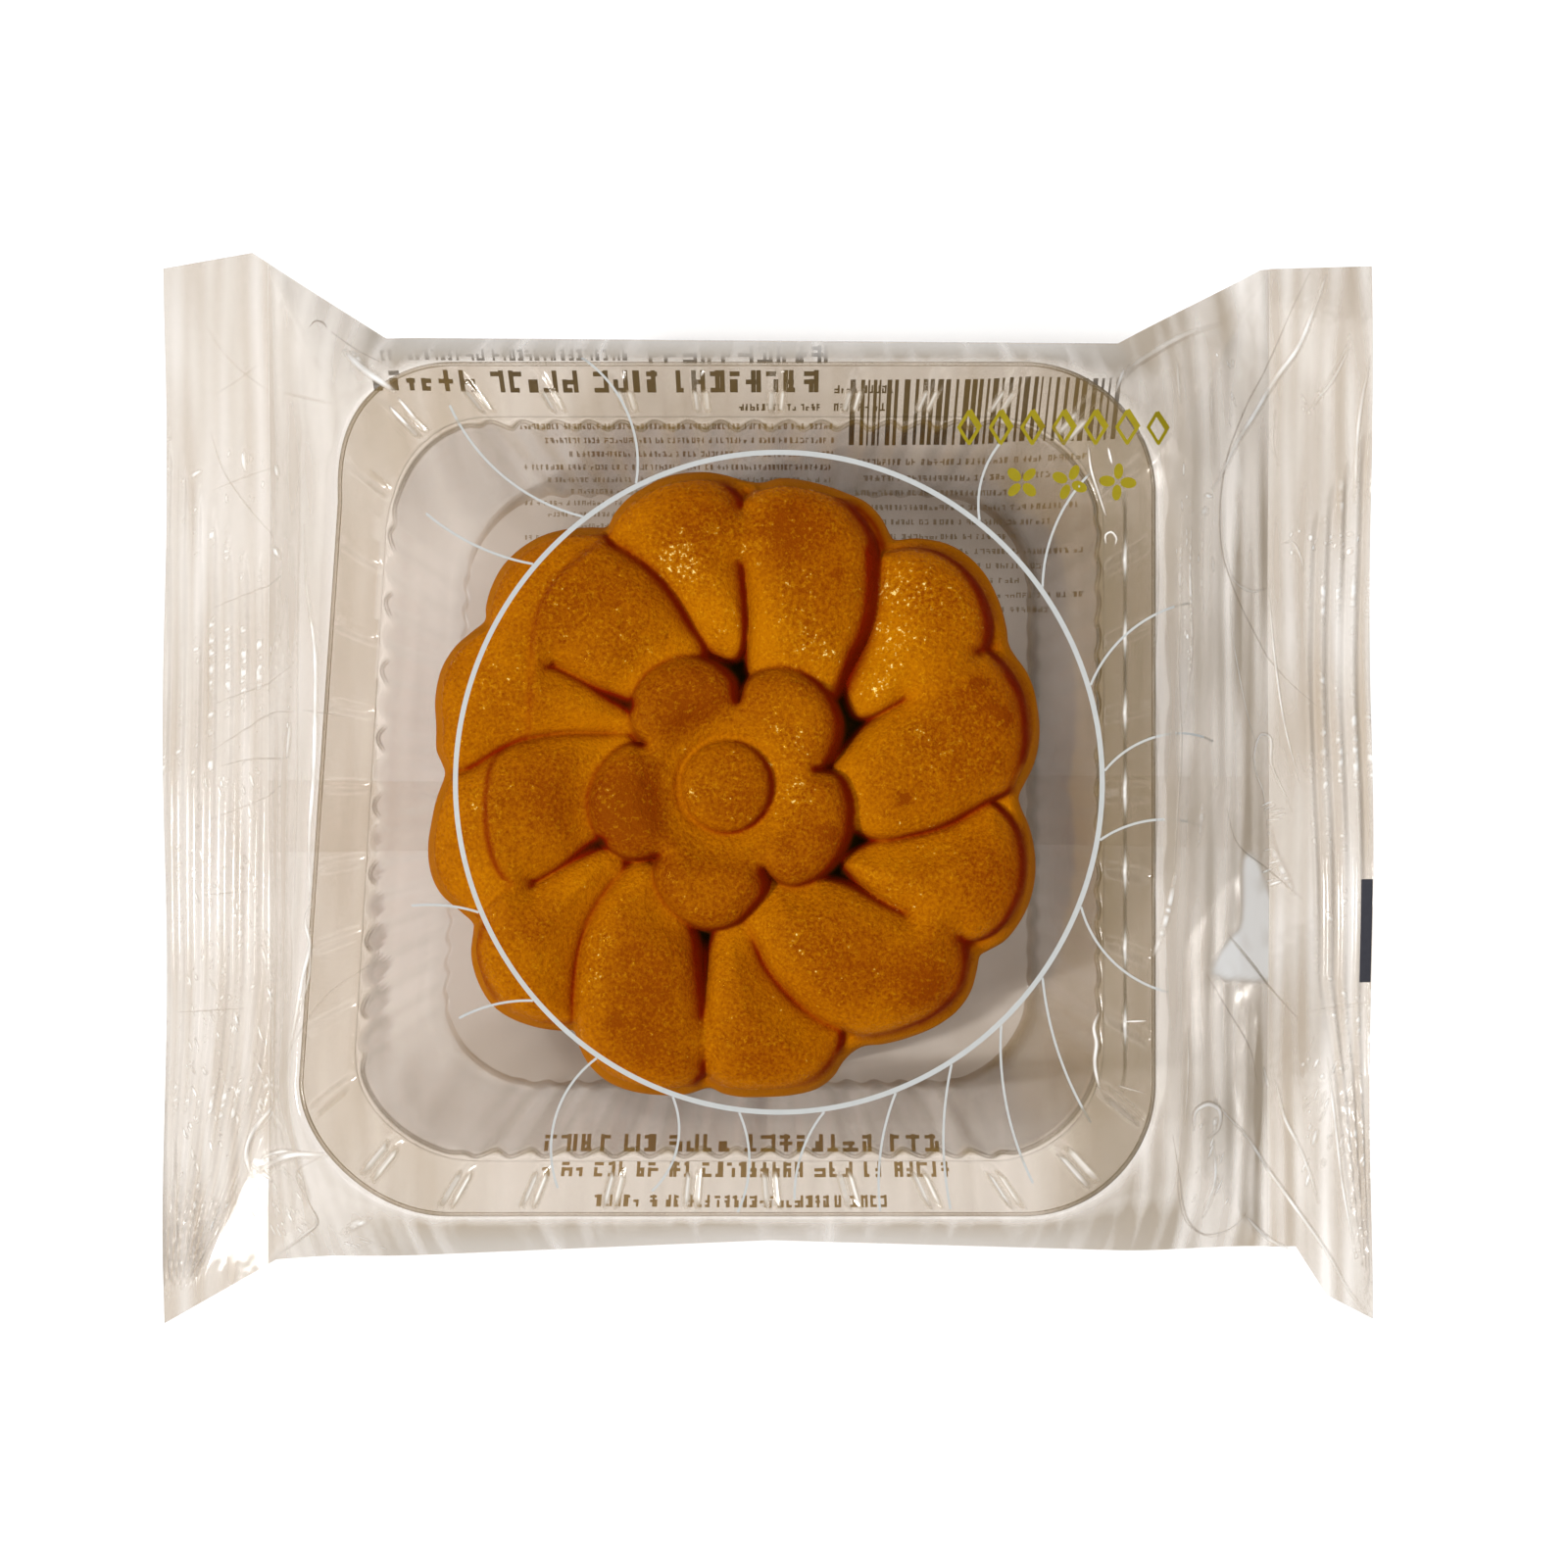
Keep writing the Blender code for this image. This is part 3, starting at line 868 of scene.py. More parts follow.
    def crimp(self, x: Array, y: Array) -> tuple[Array, Array]:
        """Work out the crimps pressed into the end seals.

        Args:
            x: The points' places along X.
            y: The points' places along Y.

        Returns:
            How far each point is lifted, from -1 to 1, and how firmly it is pressed there.
        """
        form = self.form
        left = x < 0
        wide_left = np.interp(y, *zip(*self.crimps_left))
        wide_right = np.interp(y, *zip(*self.crimps_right))
        band = np.where(left, wide_left, wide_right)
        full = np.where(left, *self.crimps_full)
        turn = (form.half_length - np.abs(x)) / band * full / self.crimp_pitch
        turn = turn + 0.25 * lumps(x * 0.1, y, 26.0, 6.0)
        wave = np.cos(2 * np.pi * turn)
        begins = np.interp(np.abs(x), (66.0, 75.5), (30.0, 46.0))
        held = window(begins - y, -1.0, 4.0) * np.where(left, window(y + 64.0, 0.0, 6.0), 1.0)
        inside = window(band - form.half_length + np.abs(x), 0.0, 1.2)
        return np.sign(wave) * np.abs(wave) ** 0.7, held * inside

    def sheet(self, step: float) -> tuple[Array, Array]:
        """Lay out a grid of points between the seals, finer beside the tray.

        Args:
            step: The distance between points over the tray.

        Returns:
            The points' places along X and along Y.
        """
        form = self.form
        count = round((form.seal_inner - self.fine_from) / min(step, self.fine_step)) + 1
        beside = np.linspace(self.fine_from, form.seal_inner, count)
        over = np.linspace(-self.fine_from, self.fine_from, round(2 * self.fine_from / step) + 1)
        along = np.concatenate([-beside[:0:-1], over, beside[1:]])
        low, high = form.edges(along)
        rows = self.row_step if step < self.back_step else step
        share = np.linspace(0, 1, round(2 * form.upper_edge[2][1] / rows) + 1)
        return np.broadcast_to(along[:, None], (along.size, share.size)), mix(
            low[:, None], high[:, None], share[None, :]
        )

    def uneven(self, x: Array, y: Array) -> Array:
        """Give the film's cloudiness about 1: broad clouds, and fine streaks across its length."""
        clouds, streaks = lumps(x, y, 13.0, 31.0), lumps(x / 1.6, y / 24.0, 1.0, 32.0)
        return np.clip(1 + (0.4 * clouds + 0.75 * streaks) * mix(1.0, 1.6, window(x, 42.0, 54.0)), 0.15, 2.2)

    def veil_at(self, x: Array, y: Array) -> Array:
        """Give the share of the front film's veil: none over the tray, most to its right, where it is partly
        painted shade.
        """
        form = self.form
        outside = form.from_rim(x, y)
        beside = 0.06 * window(outside, -7.5, -5.0) + 0.94 * window(outside, -1.0, 1.0)
        # The extra veil to the right is partly painted shade, on the side away from the key light.
        right = 0.1 + 0.07 * window(y, -16.0, 4.0) + 0.08 * lumps(x, y * 0.3, 6.0, 33.0)
        right = window(x, 30.0, 48.0) * right
        right = right * (1 + window(-y, 26.0, 50.0)) * (1 - 0.5 * window(y, 34.0, 60.0))
        ends = window(np.abs(y), 48.0, 51.5) * window(52.0 - np.abs(x), 0.0, 8.0)
        return beside * (0.35 + right + np.where(y < 0, 0.35, 0.27) * ends) * self.uneven(x, y)

    def make_front(self, material: bpy.types.Material) -> None:
        """Make the front film, drawn over the tray's rim and creased towards the seals."""
        x, y = self.sheet(self.wide_step)
        z = self.form.front(x, y) + self.crumple(x, y) - self.film_gap
        outside = self.form.from_rim(x, y)
        shift = self.form.splay(x, y)
        # A painted highlight: the bright patch where the crumpled film catches the light.
        patch = self.sheen.depth(x + shift, y)
        broken = 1.0 + 0.45 * lumps(x, y * 0.6, 2.0, 15.0)
        marks = {
            "veil_and_shade": self.veil_at(x, y), "gloss": window(outside, -5.0, 1.0),
            "glint": np.clip(window(patch, -0.4, 1.0) * broken, 0, 0.95), "line": 0.0,
        }
        points = as_points(x + shift, y, z)
        add_piece("film_front", points, grid_faces(*x.shape), material, Slot.FILM, marks)

    def make_back(self, material: bpy.types.Material) -> None:
        """Make the back film, flat under the tray."""
        x, y = self.sheet(self.back_step)
        rise = self.form.back(x, y)
        ridges = 1 - 2 * np.abs(lumps(x, y * 0.6, 8.0, 21.0))
        z = rise + 0.25 * ridges * window(rise, 0.3, 4.0) * window(self.form.room(x, y), 0, 3.0)
        z = np.maximum(z, self.back_gap)
        points = as_points(x + self.form.splay(x, y), y, z)
        veil_and_shade = (0.03 + 0.10 * window(rise, 0.0, 4.0)) * self.uneven(x + 40.0, y)
        marks = {"veil_and_shade": veil_and_shade, "gloss": 0.6, "glint": 0.0, "line": 0.0}
        add_piece("film_back", points, grid_faces(*x.shape)[:, ::-1], material, Slot.FILM, marks)

    def make_seal(self, side: int, material: bpy.types.Material) -> None:
        """Make one crimped end seal, front and back pressed together.

        Args:
            side: -1 for the left end and 1 for the right.
            material: The film's material.
        """
        form = self.form
        span = form.half_length - form.seal_inner
        out = np.linspace(0, span, round(span / self.seal_step) + 1)
        along = side * (form.seal_inner + out)
        low, high = form.edges(along)
        share = np.linspace(0, 1, round(2 * form.upper_edge[0][1] / self.seal_row_step) + 1)
        x = np.broadcast_to(along[:, None], (out.size, share.size))
        y = mix(low[:, None], high[:, None], share[None, :])
        lift, firm = self.crimp(x, y)
        near = window(np.abs(x) - form.seal_inner, 0.0, 1.0)
        nicks = 0.015 * lumps(x, y, 0.9, 12.0)
        middle = form.seal(x, y) + (self.crimp_depth * lift * firm + nicks) * near
        half = self.seal_thickness / 2
        top = as_points(x, y, middle + half)
        bottom = as_points(x, y, middle - half)
        faces = grid_faces(*x.shape)
        if side < 0:
            faces = faces[:, ::-1]
        count = len(top)
        rows, columns = x.shape
        rim = [i * columns + columns - 1 for i in range(rows)]
        rim += [(rows - 1) * columns + j for j in range(columns - 2, -1, -1)]
        rim += [i * columns for i in range(rows - 2, -1, -1)]
        skirt = [(a, b, count + b, count + a) for a, b in zip(rim, rim[1:])]
        if side < 0:
            skirt = [face[::-1] for face in skirt]
        points = np.concatenate([top, bottom])
        teeth = lumps(x * 0.6, y, 0.75, 14.0) + 0.9 * lumps(x * 0.5, y, 7.0, 17.0)
        # Painted highlights on the crimps' crests.
        shine = window(lift, 0.35, 0.8) * window(teeth, 0.25 - 0.15 * (side > 0), 0.7)
        glint = np.clip(shine * firm, 0, 1).ravel() * 0.85
        veil_and_shade = self.seal_veil[side > 0] + 0.08 * window(-y, 15.0, 48.0)
        marks = {
            "veil_and_shade": np.tile((veil_and_shade * self.uneven(x, y)).ravel(), 2), "gloss": 0.5,
            "glint": np.concatenate([glint, 0 * glint]), "line": 0.0,
        }
        name = "end_seal_left" if side < 0 else "end_seal_right"
        everything = [*faces, *(faces[:, ::-1] + count), *skirt]
        add_piece(name, points, everything, material, Slot.FILM, marks, sharp_from=60)

    def make_seam(self, material: bpy.types.Material) -> None:
        """Make the seam down the back, a flat double strip from seal to seal."""
        form = self.form
        along = np.linspace(-form.seal_inner, form.seal_inner, 140)
        across = np.linspace(-self.seam_width / 2, self.seam_width / 2, 16)
        x = np.broadcast_to(along[:, None], (along.size, across.size))
        y = self.seam_y + np.broadcast_to(across[None, :], x.shape) + 0.4 * np.sin(x / 23.0)
        z = form.back(x, y) + self.seam_gap + 0.05 * np.sin(x / 3.1) * np.sin(y / 2.0)
        points = as_points(x, y, z)
        marks = {"veil_and_shade": 0.04, "gloss": 0.2, "glint": 0.0, "line": 0.0}
        add_piece("back_seam", points, grid_faces(*x.shape), material, Slot.FILM, marks)

    def surface(self, x: Array, y: Array) -> Array:
        """Give the height of the film's upper side, over the seals as well."""
        form = self.form
        front = form.front(x, y) + self.crumple(x, y) - self.film_gap
        lift, firm = self.crimp(x, y)
        sealed = form.seal(x, y) + self.seal_thickness / 2 + self.crimp_depth * lift * firm
        return np.where(np.abs(x) > form.seal_inner, sealed, front)

    def ridge(self, fold: Fold, seed: float) -> tuple[Array, Array, Array]:
        """Work out one fold's strip, a thin raised line on the film.

        Args:
            fold: The fold.
            seed: Which slice of the noise makes it uneven.

        Returns:
            Its rows of points, and each point's painted highlight and painted shade.
        """
        across, crest, bright, dark = np.array(self.fold_section).T
        path, along = fold.path()
        taper = np.sin(np.pi * np.clip(along / along[-1], 0.015, 0.985)) ** 0.45
        run = np.gradient(path, axis=0)
        side = np.stack([run[:, 1], -run[:, 0]], axis=-1) / np.linalg.norm(run, axis=1, keepdims=True)
        if (side @ np.array(self.shade_side)).mean() < 0:
            side = -side
        beat = 1.0
        if fold.dash:
            beat = 0.2 + 0.8 * np.abs(np.sin(np.pi * along / fold.dash + 3 * np.sin(along)))
        wide = (fold.width / 2 * (0.45 + 0.55 * taper))[:, None] * across
        plan = path[:, None, :] + wide[..., None] * side[:, None, :]
        shift = self.form.splay(plan[..., 0], plan[..., 1])
        z = self.surface(plan[..., 0] - shift, plan[..., 1]) + self.fold_gap
        z = z + fold.lift * crest * taper[:, None]
        uneven = np.clip(0.8 + 0.5 * lumps(along, along * 0.3, 3.0, seed), 0, 1)
        glint = 1.3 * fold.shine * (taper * beat * uneven)[:, None] * bright
        line = 1.4 * fold.shade * taper[:, None] * (dark if fold.shine > self.dull_below else bright)
        return np.concatenate([plan, z[..., None]], axis=-1), glint, line

    def make_folds(self) -> None:
        """Make the folds, with their painted highlights and painted shade, as one piece."""
        scattered = [stroke for seed, patch in enumerate(self.glints) for stroke in patch.strokes(seed)]
        points, faces, glints, lines, start = [], [], [], [], 0
        for fold in (*self.folds, *scattered):
            strip, glint, line = self.ridge(fold, start * 0.01)
            points.append(strip.reshape(-1, 3))
            glints.append(glint.ravel())
            lines.append(line.ravel())
            faces.append(grid_faces(*glint.shape) + start)
            start += glint.size
        marks = {"veil_and_shade": 0.0, "gloss": 0.0, "glint": np.concatenate(glints), "line": np.concatenate(lines)}
        material = self.fold_finish.material()
        add_piece("film_folds", np.concatenate(points), np.concatenate(faces), material, Slot.FILM, marks)

    def build(self) -> None:
        """Make every piece of the film."""
        material = self.finish.material()
        self.make_front(material)
        self.make_back(material)
        self.make_seal(-1, material)
        self.make_seal(1, material)
        self.make_seam(material)
        self.make_folds()


@dataclass
class Tray:
    """The clear formed tray: a flat ribbed rim, fluted walls and a flat base."""

    form: BagForm
    middle: Point = (-3.8, 0.2)
    thickness: float = 0.4
    rim_top: float = 33.5
    rim_half: Point = (49.0, 50.0)
    rim_corner: float = 15.5
    lip_drop: float = 1.0
    mouth_half: Point = (42.0, 42.6)
    mouth_corner: float = 13.0
    foot_half: Point = (38.0, 39.0)
    foot_corner: float = 13.0
    foot_height: float = 0.35
    round_top: float = 2.2
    round_foot: float = 2.5
    flute_pitch: float = 3.95
    flute_depth: float = 1.0
    rib_pitch: float = 8.3
    rib_width: float = 1.0
    rib_depth: float = 0.45
    rim_share: float = 0.86
    foot_share: float = 1.9
    right_side: Point = (34.0, 40.0)
    around: int = 960
    # Its dark brown veil is largely painted shade, and its dark lines are painted shade along its folds.
    finish: ClearFinish = ClearFinish(
        "clear_tray", (0.985, 0.968, 0.95), (0.27, 0.155, 0.008), painted_shade_colour=(0.10, 0.10, 0.095), gloss=0.03,
        edge_gloss=0.12, roughness=0.1
    )

    def loop(self, half: Point, corner: float) -> tuple[Array, Array, Array]:
        """Walk round a round-cornered square at an even pace.

        Args:
            half: Its half sizes along X and Y.
            corner: Its corners' radius.

        Returns:
            The points' X and Y, and how far each has walked.
        """
        straight_x, straight_y = 2 * (half[0] - corner), 2 * (half[1] - corner)
        quarter = math.pi * corner / 2
        legs = [straight_y / 2, quarter, straight_x, quarter, straight_y, quarter, straight_x, quarter,
                straight_y / 2]
        stops = np.concatenate([[0.0], np.cumsum(legs)])
        walked = np.linspace(0, stops[-1], self.around, endpoint=False)
        centres = ((1, 1), (-1, 1), (-1, -1), (1, -1))
        x, y = np.empty(self.around), np.empty(self.around)
        for leg in range(9):
            on = (walked >= stops[leg]) & (walked < stops[leg + 1])
            gone = walked[on] - stops[leg]
            if leg % 2:
                sx, sy = centres[leg // 2]
                turn = (leg // 2) * math.pi / 2 + gone / corner
                x[on] = sx * (half[0] - corner) + corner * np.cos(turn)
                y[on] = sy * (half[1] - corner) + corner * np.sin(turn)
            else:
                turn = (leg // 2) * math.pi / 2
                sx, sy = centres[leg // 2 - 1] if leg else (1, -1)
                begin_x = half[0] * math.cos(turn) + (half[0] - corner) * (sx if leg % 4 == 2 else 0)
                begin_y = half[1] * math.sin(turn) + (half[1] - corner) * (sy if leg % 4 == 0 else 0)
                if leg == 0:
                    begin_y = 0.0
                x[on] = begin_x - gone * math.sin(turn)
                y[on] = begin_y + gone * math.cos(turn)
        return x, y, walked

    def profile(self) -> list[tuple[float, float, float, float, float]]:
        """List the sheet's rows from the rim's lip to the middle of the base.

        Returns:
            For each row: how far it lies from rim (0) through mouth (1) to foot (2), its
            height, the share of a flute, the share of a rib, and how dark the painted shade along its fold
            is.
        """
        rows = [
            (-0.02, self.rim_top - self.lip_drop, 0.0, 0.0, 0.25),
            (-0.02, self.rim_top - 0.35, 0.0, 0.0, 0.38),
        ]
        rows += [(t, self.rim_top, 0.0, r, d) for t, r, d in (
            (0.015, 0, 0.22), (0.045, 0, 0), (0.09, 0.4, 0), (0.16, 1, 0), (0.3, 1, 0), (0.42, 1, 0),
            (0.46, 1, 0), (0.5, 1, 0.02), (0.54, 1, 0), (0.58, 1, 0),
            (0.72, 1.0, 0.0), (0.8, 0.4, 0.0), (0.86, 0.0, 0.0))]
        for turn in np.linspace(0, 90, 12):
            angle = math.radians(turn)
            t = self.rim_share + (1 - self.rim_share) * math.sin(angle)
            z = self.rim_top - self.round_top * (1 - math.cos(angle))
            rows.append((t, z, min(1.0, turn / 40), 0.0, 0.62 * float(bell(turn - 38, 8))))
        top = self.rim_top - self.round_top
        bottom = self.foot_height + self.round_foot
        for share in np.linspace(0.08, 0.92, 11):
            rows.append((mix(1.0, self.foot_share, share), mix(top, bottom, share), 1.0, 0.0, 0.0))
        for turn in np.linspace(0, 90, 7):
            angle = math.radians(turn)
            t = self.foot_share + 0.35 * (1 - math.cos(angle))
            z = self.foot_height + self.round_foot * (1 - math.sin(angle))
            rows.append((t, z, 1 - 0.5 * turn / 90, 0.0, 0.25 * math.sin(2 * angle) ** 2))
        return rows

    def edge_shade_share(self, t: float, footing: Array, broken: Array, right: Array) -> Array:
        """Give how strong a row's painted fold shade is round the tray.

        Args:
            t: How far the row lies from rim (0) through mouth (1) to foot (2).
            footing: The share along the foot.
            broken: The share along the mouth.
            right: How far points lie on the right side, from 0 to 1.

        Returns:
            The share at each point of the row.
        """
        if t > self.foot_share:
            return footing
        if t > 0.8:
            return broken
        return 25 * right if t > 0.4 else np.ones(self.around)

    def shape(self) -> tuple[Array, Array, Array]:
        """Work out the sheet's points.

        Returns:
            The rows of points, and each point's painted shade and painted highlight.
        """
        rim = self.loop(self.rim_half, self.rim_corner)
        mouth = self.loop(self.mouth_half, self.mouth_corner)
        foot = self.loop(self.foot_half, self.foot_corner)
        levels = [np.stack(loop[:2], axis=-1) for loop in (rim, mouth, foot)]
        walked = mouth[2]
        mouth_x, mouth_y = levels[1].T
        inward = -levels[1] / np.linalg.norm(levels[1], axis=1, keepdims=True)
        straight = np.minimum(
            window(self.mouth_half[0] - self.mouth_corner + 4 - np.abs(mouth_x), 0, 4)
            + window(self.mouth_half[1] - self.mouth_corner + 4 - np.abs(mouth_y), 0, 4), 1.0
        )
        flute = (0.5 + 0.5 * np.cos(2 * np.pi * walked / self.flute_pitch)) * straight
        right = window(mouth_x, *self.right_side) * straight
        flute = flute * (1 - 0.6 * right)
        left = window(-mouth_x, *self.right_side) * straight
        broken = 1 - left * (1 - 0.8 * window(np.sin(np.pi * walked / self.flute_pitch), 0.3, 0.9))
        from_rib = np.abs((walked + self.rib_pitch / 2) % self.rib_pitch - self.rib_pitch / 2)
        rib = bell(from_rib, self.rib_width / 2)
        # Painted highlights: a double stroke beside each rib, and dashes along the step on the right.
        double = bell(from_rib - 0.55, 0.26)
        near = window(-mouth_y, 30.0, 40.0)
        far = window(mouth_y, 30.0, 40.0)
        # The foot's painted shade is strongest on the right, away from the key light.
        footing = 0.2 + 0.8 * window(mouth_x, *self.right_side)
        points, folds, glints = [], [], []
        for t, z, fluted, ribbed, dark in self.profile():
            if t <= 1:
                plan = mix(levels[0], levels[1], t)
            else:
                plan = mix(levels[1], levels[2], t - 1)
            plan = plan + inward * (flute * fluted * self.flute_depth)[:, None]
            height = z - rib * ribbed * self.rib_depth
            points.append(np.column_stack([plan, np.broadcast_to(height, (self.around,))]))
            folds.append(dark * self.edge_shade_share(t, footing, broken, right))
            strip = float(window(np.array(t), 0.12, 0.2) * window(0.72 - np.array(t), 0.0, 0.1))
            low = float(window(np.array(t), 0.4, 0.5) * window(0.8 - np.array(t), 0.0, 0.1))
            step = float(bell(np.array(t - 0.5), 0.03))
            glints.append(double * (near * strip + 0.8 * far * low) + bell(from_rib, 1.5) * right * step)
        last = points[-1]
        for share in (0.12, 0.3, 0.6, 0.85):
            inner = last * (1 - share, 1 - share, 1.0)
            points.append(inner)
            folds.append(np.zeros(self.around))
            glints.append(np.zeros(self.around))
        return np.stack(points), np.stack(folds), np.stack(glints)

    def build(self) -> None:
        """Make the tray."""
        rows, folds, glints = self.shape()
        count = rows.shape[0]
        points = rows.reshape(-1, 3)
        faces = [*grid_faces(count, self.around, closed=True)[:, ::-1]]
        start = (count - 1) * self.around
        points = np.vstack([points, [0.0, 0.0, self.foot_height]])
        hub = len(points) - 1
        faces += [(start + i, start + (i + 1) % self.around, hub) for i in range(self.around)]
        points = points + (*self.middle, 0.0)
        points[:, 0] += self.form.splay(points[:, 0], points[:, 1])
        uneven = 0.65 + 0.7 * np.abs(lumps(points[:, 0], points[:, 1], 11.0, 2.0))
        x, y = points[:, 0], points[:, 1]
        from_x, from_y = x - self.middle[0], y - self.middle[1]
        outside = self.form.outside(from_x, from_y, self.mouth_half, self.mouth_corner)
        # The veil inside is heavier at the top, the bottom and the right: painted shade.
        inner = 0.065 + 0.09 * window(y, 24.0, 39.0) + 0.13 * window(-y, 22.0, 40.0)
        inner = inner + 0.11 * window(x, 18.0, 38.0)
        rim = 0.09 - 0.05 * window(x, 34.0, 42.0) + 0.08 * window(-x, 30.0, 40.0)
        rim = rim + 0.05 * window(y, 34.0, 44.0)
        # Painted shade on the right side of the rim.
        right_side_shade = 0.32 * window(x, 30.0, 40.0) * (outside > 0.2)
        veil_and_shade = np.where(outside > 0.2, rim, inner) * (1 + 0.35 * lumps(x / 2.0, y / 8.0, 1.6, 41.0))
        marks = {"veil_and_shade": veil_and_shade, "gloss": 0.6, "glint": np.append(glints.ravel(), 0.0),
                 "line": np.append(folds.ravel(), 0.0) * uneven + right_side_shade}
        piece = add_piece("tray", points, faces, self.finish.material(), Slot.TRAY, marks)
        solid = piece.modifiers.new("sheet", "SOLIDIFY")
        solid.thickness = self.thickness * MM
        solid.offset = -1.0


@dataclass(frozen=True)
class PetalPair:
    """Two petals that make one heart, grown together along a bridge towards the rim."""

    first: Outline
    second: Outline
    bridge: tuple[Point, Point]
    healed: float = 1.0
    grow: ClassVar[float] = 0.3

    def depth(self, x: Array, y: Array) -> Array:
        """Measure how deep points lie inside the pair, below 0 outside it."""
        edges = np.concatenate([self.first.edges(), self.second.edges()])
        middles = edges.mean(axis=1)
        shut = segment_distance(*middles.T, *self.bridge)[0] < 0.8
        away = mix(nearest(edges, x, y), nearest(edges[~shut], x, y), self.healed)
        inside = self.first.holds(x, y) | self.second.holds(x, y)
        from_bridge = segment_distance(x, y, *self.bridge)[0] - 0.6
        beyond = np.minimum(away, 0.25 * np.clip(from_bridge, 0, None))
        return np.where(inside | (from_bridge < 0), away, -beyond) + self.grow


